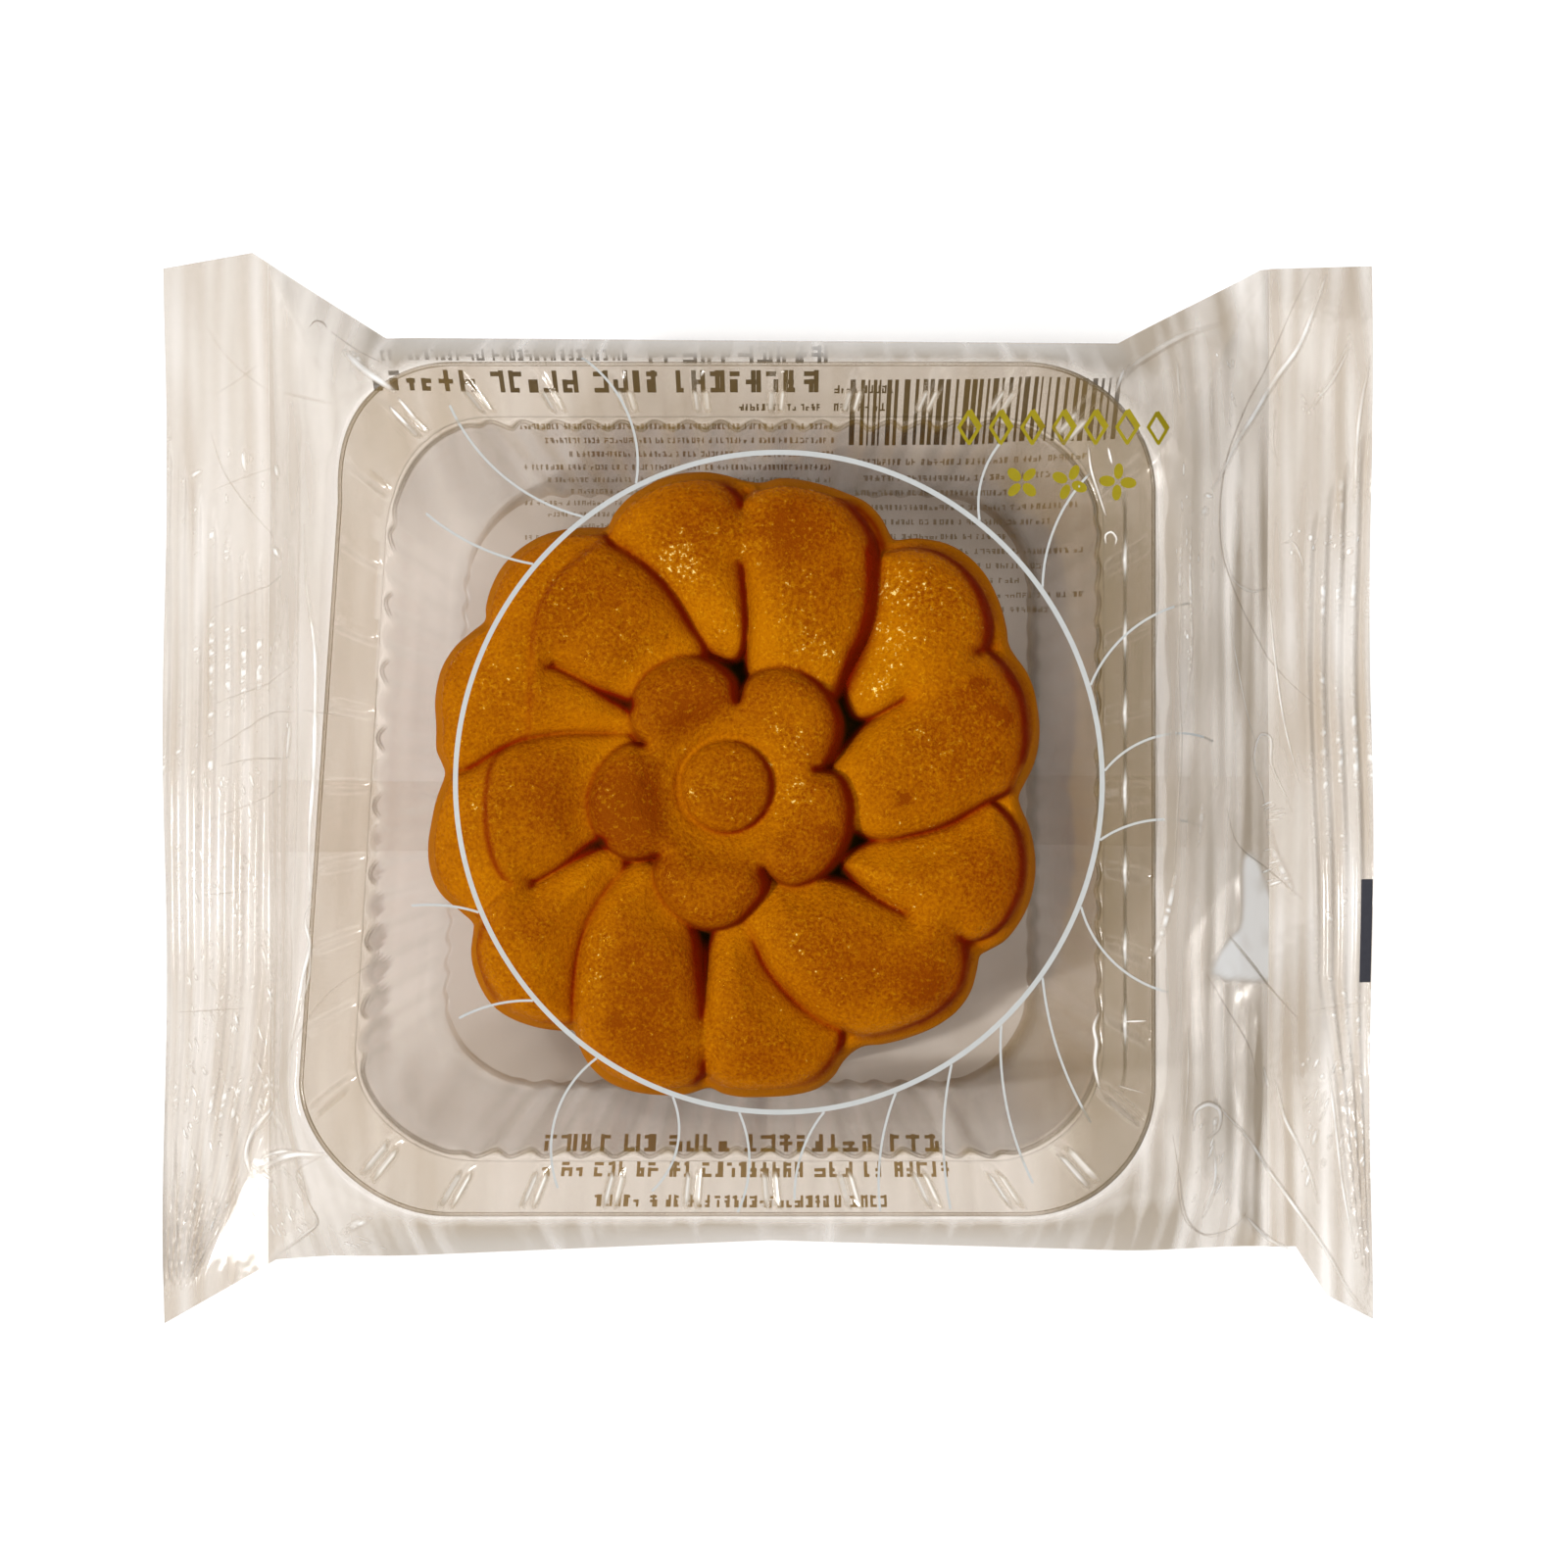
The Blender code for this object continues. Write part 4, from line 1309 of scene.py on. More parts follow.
@dataclass
class Mooncake:
    """The moulded cake: a button in a five-lobed flower, in a ring of twelve petals."""

    middle: Point = (-5.0, 0.55)
    valley: float = 28.2
    ledge: float = 30.1
    petal_edge: float = 30.4
    petal_scale: float = 1.01
    petal_top: float = 33.9
    petal_join: float = 0.3
    flower_join: float = 0.15
    ledge_from: Point = (20.0, 30.0)
    flower_drop: float = 1.2
    leans: tuple[float, ...] = (1.6, 1.6, 1.4, 1.3, 1.2, 0.7)
    lean_width: float = 7.0
    edge_round: float = 5.5
    shoulder_drop: float = 0.75
    button_radius: float = 5.35
    button_top: float = 34.9
    button_foot: float = 32.8
    cup_low: float = 33.1
    cup_rise: float = 2.0
    flower_edge: float = 32.0
    flower_round: float = 3.8
    droop: float = 0.8
    droop_radius: float = 35.0
    golden_below: float = 32.2
    browned_over: float = 2.0
    # The height below which the creases get painted shade, and over what drop it deepens.
    shaded_below: float = 31.0
    shaded_over: float = 1.2
    slope_reach: float = 0.15
    pimple_count: int = 60
    pimple_reach: float = 33.0
    wall_grow: float = 2.2
    wall_widest: float = 15.0
    wall_rounds: Point = (15.0, 22.0)
    wall_matt: float = -4.0
    foot_tuck: float = 1.3
    foot_height: float = 0.85
    rings: int = 136
    wall_rows: int = 16
    finish: CrustFinish = CrustFinish()
    rim: tuple[Point, ...] = (
        (0, 36.2), (2, 35.6), (4, 35.4), (6, 35.9), (8.5, 35.7), (11, 35.2), (13.5, 34.4), (16, 33.2),
        (17.8, 31.3), (18.9, 29.2), (19.6, 28.7), (22, 28.9), (25.3, 28.3), (28, 26.8), (30.3, 24.4),
        (31.7, 21.4), (32.4, 18.5), (32.6, 16.6), (33.3, 15.2), (34.7, 13.3), (35.7, 11), (36.2, 8.3),
        (36.2, 5.4), (35.6, 2.6), (34.6, 0.4), (33.9, -1.2), (34.2, -2.6), (35.1, -4.7), (35.7, -7.4),
        (35.8, -10.2), (35.3, -13), (34.2, -15.6), (32.4, -17.9), (30.4, -19.1), (29.3, -19.8), (29, -21.4),
        (28.3, -24), (26.6, -26.4), (24, -28.2), (21, -29.3), (17.9, -30), (15.9, -30.2), (14.6, -30.9),
        (13.3, -32.2), (12.1, -34), (10, -35.4), (7, -36.1), (4, -36.3), (1.5, -36.3), (-0.6, -35.9),
        (-2.3, -35.2), (-4.6, -35.9), (-7.6, -36.1), (-10.8, -35.7), (-13.8, -34.6), (-16, -32.8),
        (-17.3, -30.6), (-18, -28.5), (-19.6, -28.5), (-22.4, -28.2), (-25.2, -27.3), (-27.6, -25.6),
        (-29.2, -23), (-30, -19.8), (-29.7, -16.7), (-29.9, -15.8), (-31.5, -14.4), (-33.5, -12.6),
        (-34.7, -10.2), (-35.1, -7.4), (-34.8, -4.5), (-34.1, -1.6), (-33, 1.2), (-33.3, 2.6), (-34, 4.3),
        (-34, 7), (-34.2, 9.8), (-33.9, 12.4), (-33.2, 14.4), (-31.8, 16.4), (-29.9, 18), (-28.4, 19.3),
        (-28.3, 21), (-27.7, 23.2), (-26.4, 25.6), (-24.3, 27.7), (-21.8, 29.2), (-19, 29.9), (-16.2, 30.1),
        (-14.2, 30.2), (-13.3, 31.8), (-11.8, 33.5), (-9.5, 35), (-7, 36.1), (-4.3, 36.6), (-2, 36.6),
    )
    flower: Outline = Outline((
        (1.4, 10), (2.1, 12), (3.2, 13.2), (4.9, 13.8), (6.8, 14), (8.8, 13.5), (10.6, 12.4), (12.1, 10.9),
        (13.1, 9.1), (13.6, 7.2), (13.3, 5.2), (12.5, 3.5), (11.6, 2.4), (10.6, 1.95), (11.7, 1.8), (13, 1.5),
        (14.1, 0.4), (14.8, -1.5), (14.9, -3.8), (14.5, -6), (13.5, -8.2), (12.1, -9.9), (10.2, -11.2),
        (8, -11.8), (6.2, -11.4), (5, -10.5), (4.4, -9.8), (4.9, -11.4), (4.6, -12.8), (3.6, -14.1),
        (2.5, -15.3), (1.2, -16.2), (-0.5, -16.8), (-2.5, -16.9), (-4.5, -16.2), (-6.3, -14.9), (-7.8, -13.2),
        (-8.6, -11.2), (-8.6, -9.4), (-8, -8.2), (-9.2, -8.5), (-10.8, -8.7), (-12.5, -8.3), (-14.2, -7.2),
        (-15.5, -5.6), (-16.3, -3.6), (-16.4, -1.4), (-15.8, 0.8), (-14.7, 2.7), (-13.2, 4.2), (-11.5, 5),
        (-9.6, 4.9), (-10.7, 5.9), (-11.4, 7.4), (-11.5, 9.4), (-10.9, 11.3), (-9.6, 13.1), (-7.8, 14.4),
        (-5.7, 15.2), (-3.5, 15.2), (-1.5, 14.6), (0.2, 13.4), (1.2, 12),
    ))
    pairs: tuple[PetalPair, ...] = (
        PetalPair(Outline((
            (-14, 29.8), (-13.2, 31.4), (-11.4, 33.3), (-8.8, 35), (-6, 35.9), (-3.2, 36.1), (-0.8, 35.5),
            (1, 34.2), (1.8, 32.7), (1.85, 29.5), (1.8, 26.5), (2, 23.5), (2.2, 20.5), (2.1, 17.8),
            (1.6, 15.9), (0.8, 15.1), (-0.5, 15.2), (-2.2, 16.3), (-3.6, 18.6), (-4.9, 20.9), (-6.4, 23.1),
            (-8.3, 25.2), (-10.6, 26.9), (-12.8, 28.3),
        )), Outline((
            (1.95, 32.7), (2.8, 34.1), (4.4, 35.1), (6.5, 35.5), (9.3, 35.2), (12, 34.3), (14.3, 32.8),
            (16.1, 30.7), (17.2, 28.6), (17.6, 26.6), (17.5, 24.3), (17.3, 21.8), (16.9, 19.6), (16, 17.5),
            (14.8, 15.5), (13.8, 13.6), (13.1, 12), (12, 10), (8, 9), (4, 10.5), (2.75, 13.2), (2.6, 16),
            (2.7, 19), (2.55, 22), (2.2, 25), (1.95, 28.5),
        )), ((1.95, 26.5), (1.9, 32.0)), 0.75),
        PetalPair(Outline((
            (18.2, 26.9), (20, 27.5), (22.5, 27.7), (25, 27.1), (27.2, 25.8), (29, 23.9), (30.3, 21.6),
            (30.9, 19.2), (30.7, 17.2), (29.7, 15.75), (27, 14), (24.5, 12.2), (22, 10.8), (20, 9.7),
            (18.2, 8.8), (16.6, 8.3), (15.3, 8.4), (14.6, 9.4), (14.3, 10.8), (14.6, 12.3), (15.3, 13.8),
            (16.2, 15.6), (17, 17.7), (17.6, 19.9), (17.8, 22.3), (18, 24.8),
        )), Outline((
            (29.9, 15.6), (31.6, 14.9), (33.2, 13.2), (34.5, 10.9), (35.2, 8.3), (35.3, 5.5), (34.9, 3),
            (34.2, 1), (33, -0.5), (31, -1.5), (28.8, -2.7), (26.6, -3.9), (24.4, -4.8), (22, -5.4),
            (19.8, -5.9), (17.8, -6), (16.2, -5.5), (14.6, -4.4), (13.6, -2.6), (13.2, -0.8), (12.8, 0.8),
            (12.6, 1.9), (13, 2.9), (14, 4.2), (15.3, 5.7), (16.7, 7.1), (18.4, 8.3), (20.2, 9.4),
            (22.2, 10.5), (24.7, 12), (27.2, 13.8),
        )), ((21.5, 10.3), (29.0, 15.2))),
        PetalPair(Outline((
            (30.9, -2.2), (32.5, -3.3), (33.9, -5.1), (34.7, -7.4), (34.9, -9.9), (34.5, -12.4),
            (33.4, -14.8), (31.7, -16.7), (29.7, -17.8), (27.6, -17.7), (25.5, -16.8), (23.2, -15.8),
            (21, -14.6), (18.7, -13.4), (16.8, -12.2), (15.4, -11), (14.5, -10), (13.9, -9.1), (14.7, -8.1),
            (16.2, -7.3), (17.8, -6.7), (19.8, -6.5), (22.1, -6.1), (24.5, -5.5), (26.8, -4.6), (28.9, -3.3),
        )), Outline((
            (27.6, -18), (28.1, -19.6), (28.2, -21.4), (27.5, -23.5), (26, -25.3), (23.9, -26.9), (21.4, -28),
            (18.8, -28.8), (16.2, -29.1), (13.8, -28.5), (12.1, -27.8), (10.5, -26.9), (8.8, -25.5),
            (7.1, -23.8), (5.6, -22.1), (4.5, -20.3), (3.7, -18.6), (2.8, -17.1), (2, -15.9), (2.3, -14.4),
            (3.8, -12.5), (5.6, -11.4), (8.2, -11.2), (10.4, -10.9), (12.6, -11.3), (14.6, -11.9),
            (16.6, -12.9), (18.6, -14), (21, -15.1), (23.2, -16.1), (25.5, -17),
        )), ((21.8, -15.1), (27.0, -17.5))),
        PetalPair(Outline((
            (-2.4, -32.6), (-1.9, -34), (-0.3, -35.1), (2, -35.7), (5, -35.6), (8, -35.1), (10.5, -34),
            (12.3, -32.3), (13.2, -30.5), (13.3, -28.9), (11.8, -28.1), (10.2, -27.2), (8.4, -25.9),
            (6.7, -24.2), (5.2, -22.4), (4.1, -20.6), (3.3, -18.9), (2.4, -16.4), (0.8, -15.4), (-0.9, -16.6),
            (-1.7, -19), (-2, -21.5), (-2.3, -24.5), (-2.5, -28.5),
        )), Outline((
            (-2.5, -32.6), (-3.1, -34), (-4.9, -35.2), (-8, -35.7), (-11, -35.1), (-14, -33.7),
            (-16.3, -31.7), (-17.5, -29.6), (-17.8, -27), (-17.7, -24.3), (-17.4, -21.3), (-16.9, -18.6),
            (-16, -16), (-14.8, -13.7), (-13.4, -11.8), (-12, -10.2), (-10.4, -9), (-8, -9.5), (-5.5, -13),
            (-4.2, -16.8), (-3.6, -18.8), (-3.2, -21.5), (-2.9, -24.8), (-2.6, -28.5),
        )), ((-2.65, -27.0), (-2.5, -31.8)), 0.4),
        PetalPair(Outline((
            (-15, -7.4), (-16.8, -8.3), (-18.8, -9.5), (-20.9, -10.7), (-23, -11.9), (-25.4, -12.9),
            (-27.5, -14.1), (-29.4, -16.2), (-29.7, -19), (-29.1, -21.6), (-27.7, -24.1), (-25.7, -26),
            (-23.2, -27.2), (-20.5, -27.6), (-18.1, -27.4), (-18, -24.5), (-17.7, -21.3), (-17.1, -18.4),
            (-16.2, -15.8), (-15, -13.5), (-13.6, -11.6), (-12.2, -9.9), (-12.5, -8),
        )), Outline((
            (-11, 5.6), (-14, 5.9), (-17, 5.95), (-20, 5.8), (-22.5, 5.4), (-24.8, 4.8), (-27, 3.7),
            (-29.8, 1.9), (-32.6, 0.9), (-33.8, -1.4), (-34.5, -4.2), (-34.8, -7.2), (-34.3, -10),
            (-33.2, -12.3), (-31.3, -14), (-29.7, -15.4), (-27.6, -13.6), (-25.4, -12.4), (-23, -11.4),
            (-20.7, -10.2), (-18.6, -8.9), (-16.8, -7.7), (-14.8, -6.3), (-11, -4), (-9, 0),
        )), ((-23.2, -11.7), (-28.6, -14.7))),
        PetalPair(Outline((
            (-11.3, 9.2), (-13.2, 10.2), (-15.2, 11.2), (-17.4, 12.4), (-19.6, 13.5), (-21.3, 14.3),
            (-24, 15.7), (-26.5, 17.3), (-28.2, 18.9), (-29.8, 17.6), (-31.6, 16.1), (-32.9, 14.1),
            (-33.6, 12), (-33.9, 9.8), (-33.7, 7), (-33.7, 4.5), (-33.1, 2.9), (-32.5, 1.8), (-30, 2.4),
            (-27.1, 4.2), (-25, 5.2), (-22.9, 5.8), (-20, 6.25), (-17, 6.35), (-14, 6.3), (-11.2, 6.1),
            (-9.5, 7),
        )), Outline((
            (-11.3, 9.9), (-13.2, 10.8), (-15.3, 11.8), (-17.5, 13), (-19.6, 14), (-21.3, 14.8), (-24, 16.1),
            (-26.3, 17.7), (-28, 19.6), (-27.9, 21.2), (-27.3, 23.2), (-26, 25.4), (-24, 27.4), (-21.5, 28.8),
            (-19, 29.4), (-16.4, 29.6), (-14.5, 29.2), (-13.1, 28), (-10.9, 26.6), (-8.7, 24.9), (-6.8, 22.8),
            (-5.3, 20.6), (-4, 18.3), (-2.7, 16), (-3.5, 13), (-7, 10),
        )), ((-21.0, 14.4), (-27.4, 18.5))),
    )
    pressed: Outline = Outline((
        (-15.2, 28.4), (-16.6, 27.2), (-18.4, 25.7), (-20, 24), (-21.3, 22), (-22.2, 19.5), (-22.6, 17),
        (-22.8, 14), (-22.9, 11), (-23, 8.3), (-23.3, 6.2), (-24.8, 5.2), (-26.6, 3.9), (-27.6, 2.2),
        (-28, 0), (-28.1, -2.8), (-27.9, -5.6), (-27.3, -8.2), (-26.4, -10.2), (-25.2, -11.7), (-26.5, -13.2),
        (-30.5, -15.6), (-40, -18), (10, -45), (50, 0), (10, 45), (-12, 40), (-13.5, 31),
    ))
    # Lines of painted shadow in the gaps between the petals and the rim, with their widths and strengths.
    crescent_shadows: tuple[tuple[tuple[Point, ...], float, float], ...] = (
        (((17.1, 27.4), (17.3, 24), (17, 20.5), (16.3, 17.4), (15, 14.2), (13.8, 11.5)), 1, 1),
        (((13.4, 34.2), (15, 33.6), (16.6, 32.3), (17.8, 30.5), (18.4, 28.3)), 0.75, 0.9),
        (((28.2, 25.4), (29.4, 23.6), (30.3, 21.3), (30.9, 18.9), (30.9, 16.8), (30.2, 15.6)), 0.55, 0.5),
        (((33.3, 13), (34.6, 11), (35.3, 8.4), (35.6, 5.3), (35.1, 2.8)), 0.5, 0.85),
        (((33.6, -3.6), (34.9, -6), (35.3, -9), (34.9, -12.5), (33.2, -15.6)), 0.42, 0.9),
        (((28.6, -21), (27.8, -24), (25.9, -26.2), (22.8, -28.2)), 0.4, 0.8),
        (((-28.6, -16.2), (-29.6, -19.2), (-29, -22.4), (-27.4, -25)), 0.45, 0.6),
    )
    # Slits left of the flower, painted as shadow that widens from tip to end.
    wedge_shadows: tuple[tuple[Point, Point], ...] = (
        ((-20.4, 14.0), (-11.6, 9.5)),
        ((-22.6, -11.4), (-14.8, -6.6)),
    )
    wedge_tip: float = 0.1
    wedge_width: float = 0.75
    spots: tuple[tuple[float, float, float, float], ...] = (
        (-27, 8, 5, 0.25), (-19, -3, 5, 0.35), (-9, -25, 5, 0.22), (14, -19, 5, 0.2), (8.5, 8, 4, -0.25),
        (29.5, 11.9, 0.9, 1), (32.6, 8, 1, 1), (31.2, 9.4, 0.6, 0.8), (20.8, -1.5, 0.6, 1.6),
        (11.8, -5.5, 0.7, 1.6), (12.9, 24.9, 0.7, 0.5), (-11, -2, 4, 0.6), (-5, 8, 3.5, 0.4),
        (9, 32, 5, 0.35), (29.5, 9, 5.5, 0.25), (31, -9, 4.5, 0.25), (24, -24, 4.5, 0.5), (6, -32, 5, 0.3),
        (-9, -32, 5, 0.3), (-13, -27.5, 1, 0.7), (-4, 28, 5, 0.1), (18.5, 15, 6, -0.4), (5, 17.5, 3.5, -0.15),
        (-2, 21, 4, -0.2), (-16, 9.5, 7, -0.2), (6, 18, 4, -0.2), (-22, -16, 3, 0.2),
    )
    # Spots with a wet glaze, where painted sparkles gather: x, y, size and share.
    glazed_and_sparkle_spots: tuple[tuple[float, float, float, float], ...] = (
        (-6.2, 27.2, 2.6, 1.1), (-4.2, 25.2, 2.8, 0.9), (-1.5, 30.3, 2, 0.8), (0.5, 20, 3, 0.6),
        (9, 16.5, 3, 0.9), (12.5, 15.5, 2.2, 0.6), (8, 23, 4, 0.5), (18.5, 23.5, 3.2, 1), (19.5, 17, 3.6, 1),
        (24, 23, 4, 0.6), (17.5, 11.5, 2.6, 0.8), (7.4, 5.5, 2.4, 1), (8.2, -0.5, 2.3, 1.1),
        (2.7, 28, 1.8, 0.8), (-15.3, -18.5, 1.5, 0.9), (-15.9, -22.2, 1.6, 1), (-29, -1.5, 2.2, 0.9),
        (-14, -1.5, 1.3, 0.9), (-3.9, -1, 1.3, 0.9), (0, 0, 4, 0.3), (27, 4, 4.5, 0.4), (20, -12.5, 3.4, 0.7),
        (-19.5, 22.5, 4, 0.5), (-26.5, 12, 3.5, 0.5), (25, -6.5, 3.4, 0.5), (9, -17.5, 3.5, 0.5),
        (3, 33.5, 2.6, 0.4), (29, 19, 3, 0.5), (22, 5, 4, 0.4), (-11, 17, 4, 0.4), (-22, -21, 4, 0.2),
    )

    def rim_radius(self, angles: Array) -> Array:
        """Give the scalloped rim's radius at angles in radians."""
        corners = Outline(self.rim).corners()
        turn = np.arctan2(corners[:, 1], corners[:, 0])
        order = np.argsort(turn)
        return np.interp(angles, turn[order], np.hypot(*corners[order].T), period=2 * math.pi)

    @staticmethod
    def rise(depth: Array, width: float) -> Array:
        """Give a pillow's rise from 0 at its outline to 1 at a width inside it."""
        return np.sqrt(1 - (1 - np.clip(depth / width, 0, 1)) ** 2.3)

    def fall(self, radius: Array) -> Array:
        """Give how far the top falls away towards the rim."""
        return self.droop * (radius / self.droop_radius) ** 3

    def flower_height(self, depth: Array, radius: Array) -> Array:
        """Give the height of the five-lobed flower and its button.

        Args:
            depth: How deep the points lie inside the flower's outline.
            radius: How far they lie from the middle.

        Returns:
            Their heights.
        """
        cup = self.cup_low + self.cup_rise * window(radius, 5.5, 11.5)
        flower = mix(self.flower_edge, cup, self.rise(depth, self.flower_round))
        flower = flower + np.clip(depth, None, 0) * 5.0
        flower = flower - 0.35 * bell(radius - self.button_radius - 0.35, 0.5)
        dome = np.clip(1 - (radius / self.button_radius) ** 2, 0, 1) ** 0.34
        button = mix(self.button_foot, self.button_top, dome) - 0.15 * bell(radius, 3.0)
        return np.where(radius < self.button_radius, button, flower)

    def top(self, x: Array, y: Array) -> tuple[Array, Array]:
        """Work out the moulded top.

        Args:
            x: The points' places along X, measured from the middle.
            y: The points' places along Y.

        Returns:
            The points' heights, and how deep each lies inside the petals.
        """
        radius = np.hypot(x, y)
        flower = self.flower.depth(x, y)
        k = self.petal_scale
        depths = [pair.depth(x / k, y / k) for pair in self.pairs]
        outside = -self.pressed.depth(x, y)
        step = self.shoulder_drop * window(outside, -0.35, 0.75) + 0.8 * window(outside, 0.5, 9.0)
        drop = self.flower_drop * smooth(1 + flower / 5.0)
        height = mix(self.valley, self.ledge, window(radius, *self.ledge_from))
        for number, depth in enumerate(depths):
            lean = self.leans[number] * smooth(1 + depths[number - 1] / self.lean_width)
            top = self.petal_top - drop - lean - step + 0.25 * np.clip(depth / 7, 0, 1)
            petal = mix(self.petal_edge, top, self.rise(depth, self.edge_round))
            petal = petal + np.clip(depth, None, 0) * 2.8
            height = soft_max(height, petal, self.petal_join)
        height = soft_max(height, self.flower_height(flower, radius), self.flower_join)
        return height - self.fall(radius), np.max([flower, *depths], axis=0)

    def pimples(self, x: Array, y: Array) -> Array:
        """Give the crust's small bubbles and pits."""
        rng = np.random.default_rng(11)
        relief = np.zeros(x.shape)
        for _ in range(self.pimple_count):
            angle = rng.uniform(0, 2 * math.pi)
            reach = self.pimple_reach * math.sqrt(rng.uniform(0.02, 1))
            size, lift = rng.uniform(0.25, 0.5), rng.choice([0.14, 0.18, -0.12])
            away = np.hypot(x - reach * math.cos(angle), y - reach * math.sin(angle))
            relief = relief + lift * bell(away, size)
        return relief

    def disc(self) -> tuple[Array, list[Sequence[int]], Array]:
        """Lay out square rings of points, bent round to fill the rim.

        Returns:
            The points in plan, the faces between them, and the numbers of the last ring's points.
        """
        n = self.rings
        grid = np.arange(-n, n + 1) / n
        u, v = np.meshgrid(grid, grid, indexing="ij")
        reach = np.maximum(np.abs(u), np.abs(v))
        wide = np.abs(u) >= np.abs(v)
        with np.errstate(divide="ignore", invalid="ignore"):
            turn = np.nan_to_num(np.where(wide, v / u, 2 - u / v)) * math.pi / 4
        angle = turn + np.where(np.where(wide, u < 0, v < 0), math.pi, 0.0)
        radius = reach * (self.rim_radius(angle) * 1.01 - 0.8)
        plan = np.stack([radius * np.cos(angle), radius * np.sin(angle)], axis=-1).reshape(-1, 2)
        side = 2 * n + 1
        border = [(2 * n, j) for j in range(n, side)]
        border += [(i, 2 * n) for i in range(2 * n - 1, -1, -1)]
        border += [(0, j) for j in range(2 * n - 1, -1, -1)]
        border += [(i, 0) for i in range(1, side)]
        border += [(2 * n, j) for j in range(1, n)]
        return plan, list(grid_faces(side, side)), np.array([i * side + j for i, j in border])

    @staticmethod
    def soften(values: Array) -> Array:
        """Even out values on the disc's grid with those of the points beside them."""
        side = math.isqrt(values.size)
        grid = values.reshape(side, side)
        wide = np.pad(grid, 1, mode="edge")
        near = wide[:-2, 1:-1] + wide[2:, 1:-1] + wide[1:-1, :-2] + wide[1:-1, 2:]
        return ((near + 4 * grid) / 8).ravel()

    def room(self, x: Array, y: Array) -> Array:
        """Measure how far points lie inside the scalloped rim."""
        return self.rim_radius(np.arctan2(y, x)) - np.hypot(x, y)

    def browning(self, x: Array, y: Array, height: Array) -> Array:
        """Work out where the crust browned: on the crests, to the right and in spots, with painted shade to
        the left and the top.

        Args:
            x: The points' places along X.
            y: The points' places along Y.
            height: The height of the top at each point.

        Returns:
            How brown each point is, where 0 is golden and 1 is baked.
        """
        radius, inside = np.hypot(x, y), self.room(x, y)
        raised = (height + self.fall(radius) - self.golden_below) / self.browned_over
        # The terms in x and y are painted shade: they darken the left and the top, where the key light from
        # the left falls strongest.
        browned = 0.12 + 0.5 * np.clip(raised, 0, 1.2) ** 1.5 - 0.003 * x + 0.006 * y
        browned = browned + 0.25 * window(x * 0.5 - y, -4.0, 30.0) * window(inside, 0.8, 3.0)
        browned = browned - 0.05 * window(self.flower.depth(x, y), -0.5, 1.0)
        for at_x, at_y, size, strength in self.spots:
            browned = browned + strength * bell(np.hypot(x - at_x, y - at_y), size)
        return browned

    def slit_shadows(self, x: Array, y: Array) -> tuple[Array, Array]:
        """Work out the painted shadow in the gaps beside the petals and in the two slits left of the flower.

        Args:
            x: The points' places along X.
            y: The points' places along Y.

        Returns:
            How much painted shade and how much painted black shadow each point has, from 0 to 1.
        """
        crease_shade, hole_shadow = np.zeros(x.shape), np.zeros(x.shape)
        for line, width, strength in self.crescent_shadows:
            edges = np.stack([line[:-1], line[1:]], axis=1)
            crease_shade = np.maximum(crease_shade, strength * bell(nearest(edges, x, y), width))
        for start, end in self.wedge_shadows:
            away, share = segment_distance(x, y, start, end)
            near = bell(away, self.wedge_tip + self.wedge_width * share)
            crease_shade = np.maximum(crease_shade, near * window(share, 0.0, 0.6))
            hole_shadow = np.maximum(hole_shadow, 0.75 * near * window(share, 0.5, 0.95))
        return crease_shade, hole_shadow

    def crease_shading(self, x: Array, y: Array, height: Array, depth: Array) -> Array:
        """Work out the painted shade in the creases between the petals, on slopes turned from the key light,
        and round the flower and the button.

        Args:
            x: The points' places along X.
            y: The points' places along Y.
            height: The height of the top at each point.
            depth: How deep each point lies inside the petals.

        Returns:
            How much painted shade each point has: up to 1 for a crease, and up to 2 for a painted black hole.
        """
        radius, inside = np.hypot(x, y), self.room(x, y)
        # Painted shade deep in the valleys, and painted black where the petals part near the flower.
        crease_shade = np.clip((self.shaded_below - height) / self.shaded_over, 0, 1) * window(inside, 1.5, 2.8)
        gap_shadow = np.clip((-0.15 - depth) / 0.3, 0, 1) * window(21.0 - radius, 0.0, 3.0)
        reach = self.slope_reach
        # Slopes that fall towards the right face away from the key light on the left and get painted shade.
        slope = (self.top(x - reach, y)[0] - self.top(x + reach, y)[0]) / (2 * reach)
        turned_from_light = window(slope, -0.8, 0.9)
        crease_shade = crease_shade + bell(depth - 0.05, 0.46) * window(inside, 0.2, 0.6) * mix(0.35, 1.0, turned_from_light)
        slit_shadow, hole_shadow = self.slit_shadows(x, y)
        crease_shade, hole_shadow = np.maximum(crease_shade, slit_shadow), np.maximum(gap_shadow, hole_shadow)
        # Painted shade round the button and round the flower, heaviest on the sides turned from the key
        # light.
        button = bell(radius - self.button_radius - 0.15, 0.27) * mix(0.15, 1.0, window(x - y, -3.0, 6.0))
        flower = bell(self.flower.depth(x, y) - 0.05, 0.29) * mix(0.6, 1.0, turned_from_light)
        crease_shade = crease_shade + 0.95 * window(slope, 0.22, 1.2) * window(inside, 0.6, 1.2)
        # Painted shade along the pressed line's step.
        pressed = bell(self.pressed.depth(x, y) + 0.25, 0.4)
        pressed = pressed * (0.85 * window(y, -13.0, -10.0) - 0.5 * window(y, 1.0, 6.0))
        return np.clip(crease_shade + button + flower + pressed, 0, 1) + hole_shadow

    def build(self) -> None:
        """Make the cake."""
        plan, faces, border = self.disc()
        x, y = plan.T
        height, depth = self.top(x, y)
        height = self.soften(height)
        z = height + self.pimples(x, y) + 0.14 * lumps(x, y, 6.0, 5.0) + 0.05 * lumps(x, y, 1.6, 7.0)
        browned = self.browning(x, y, height)
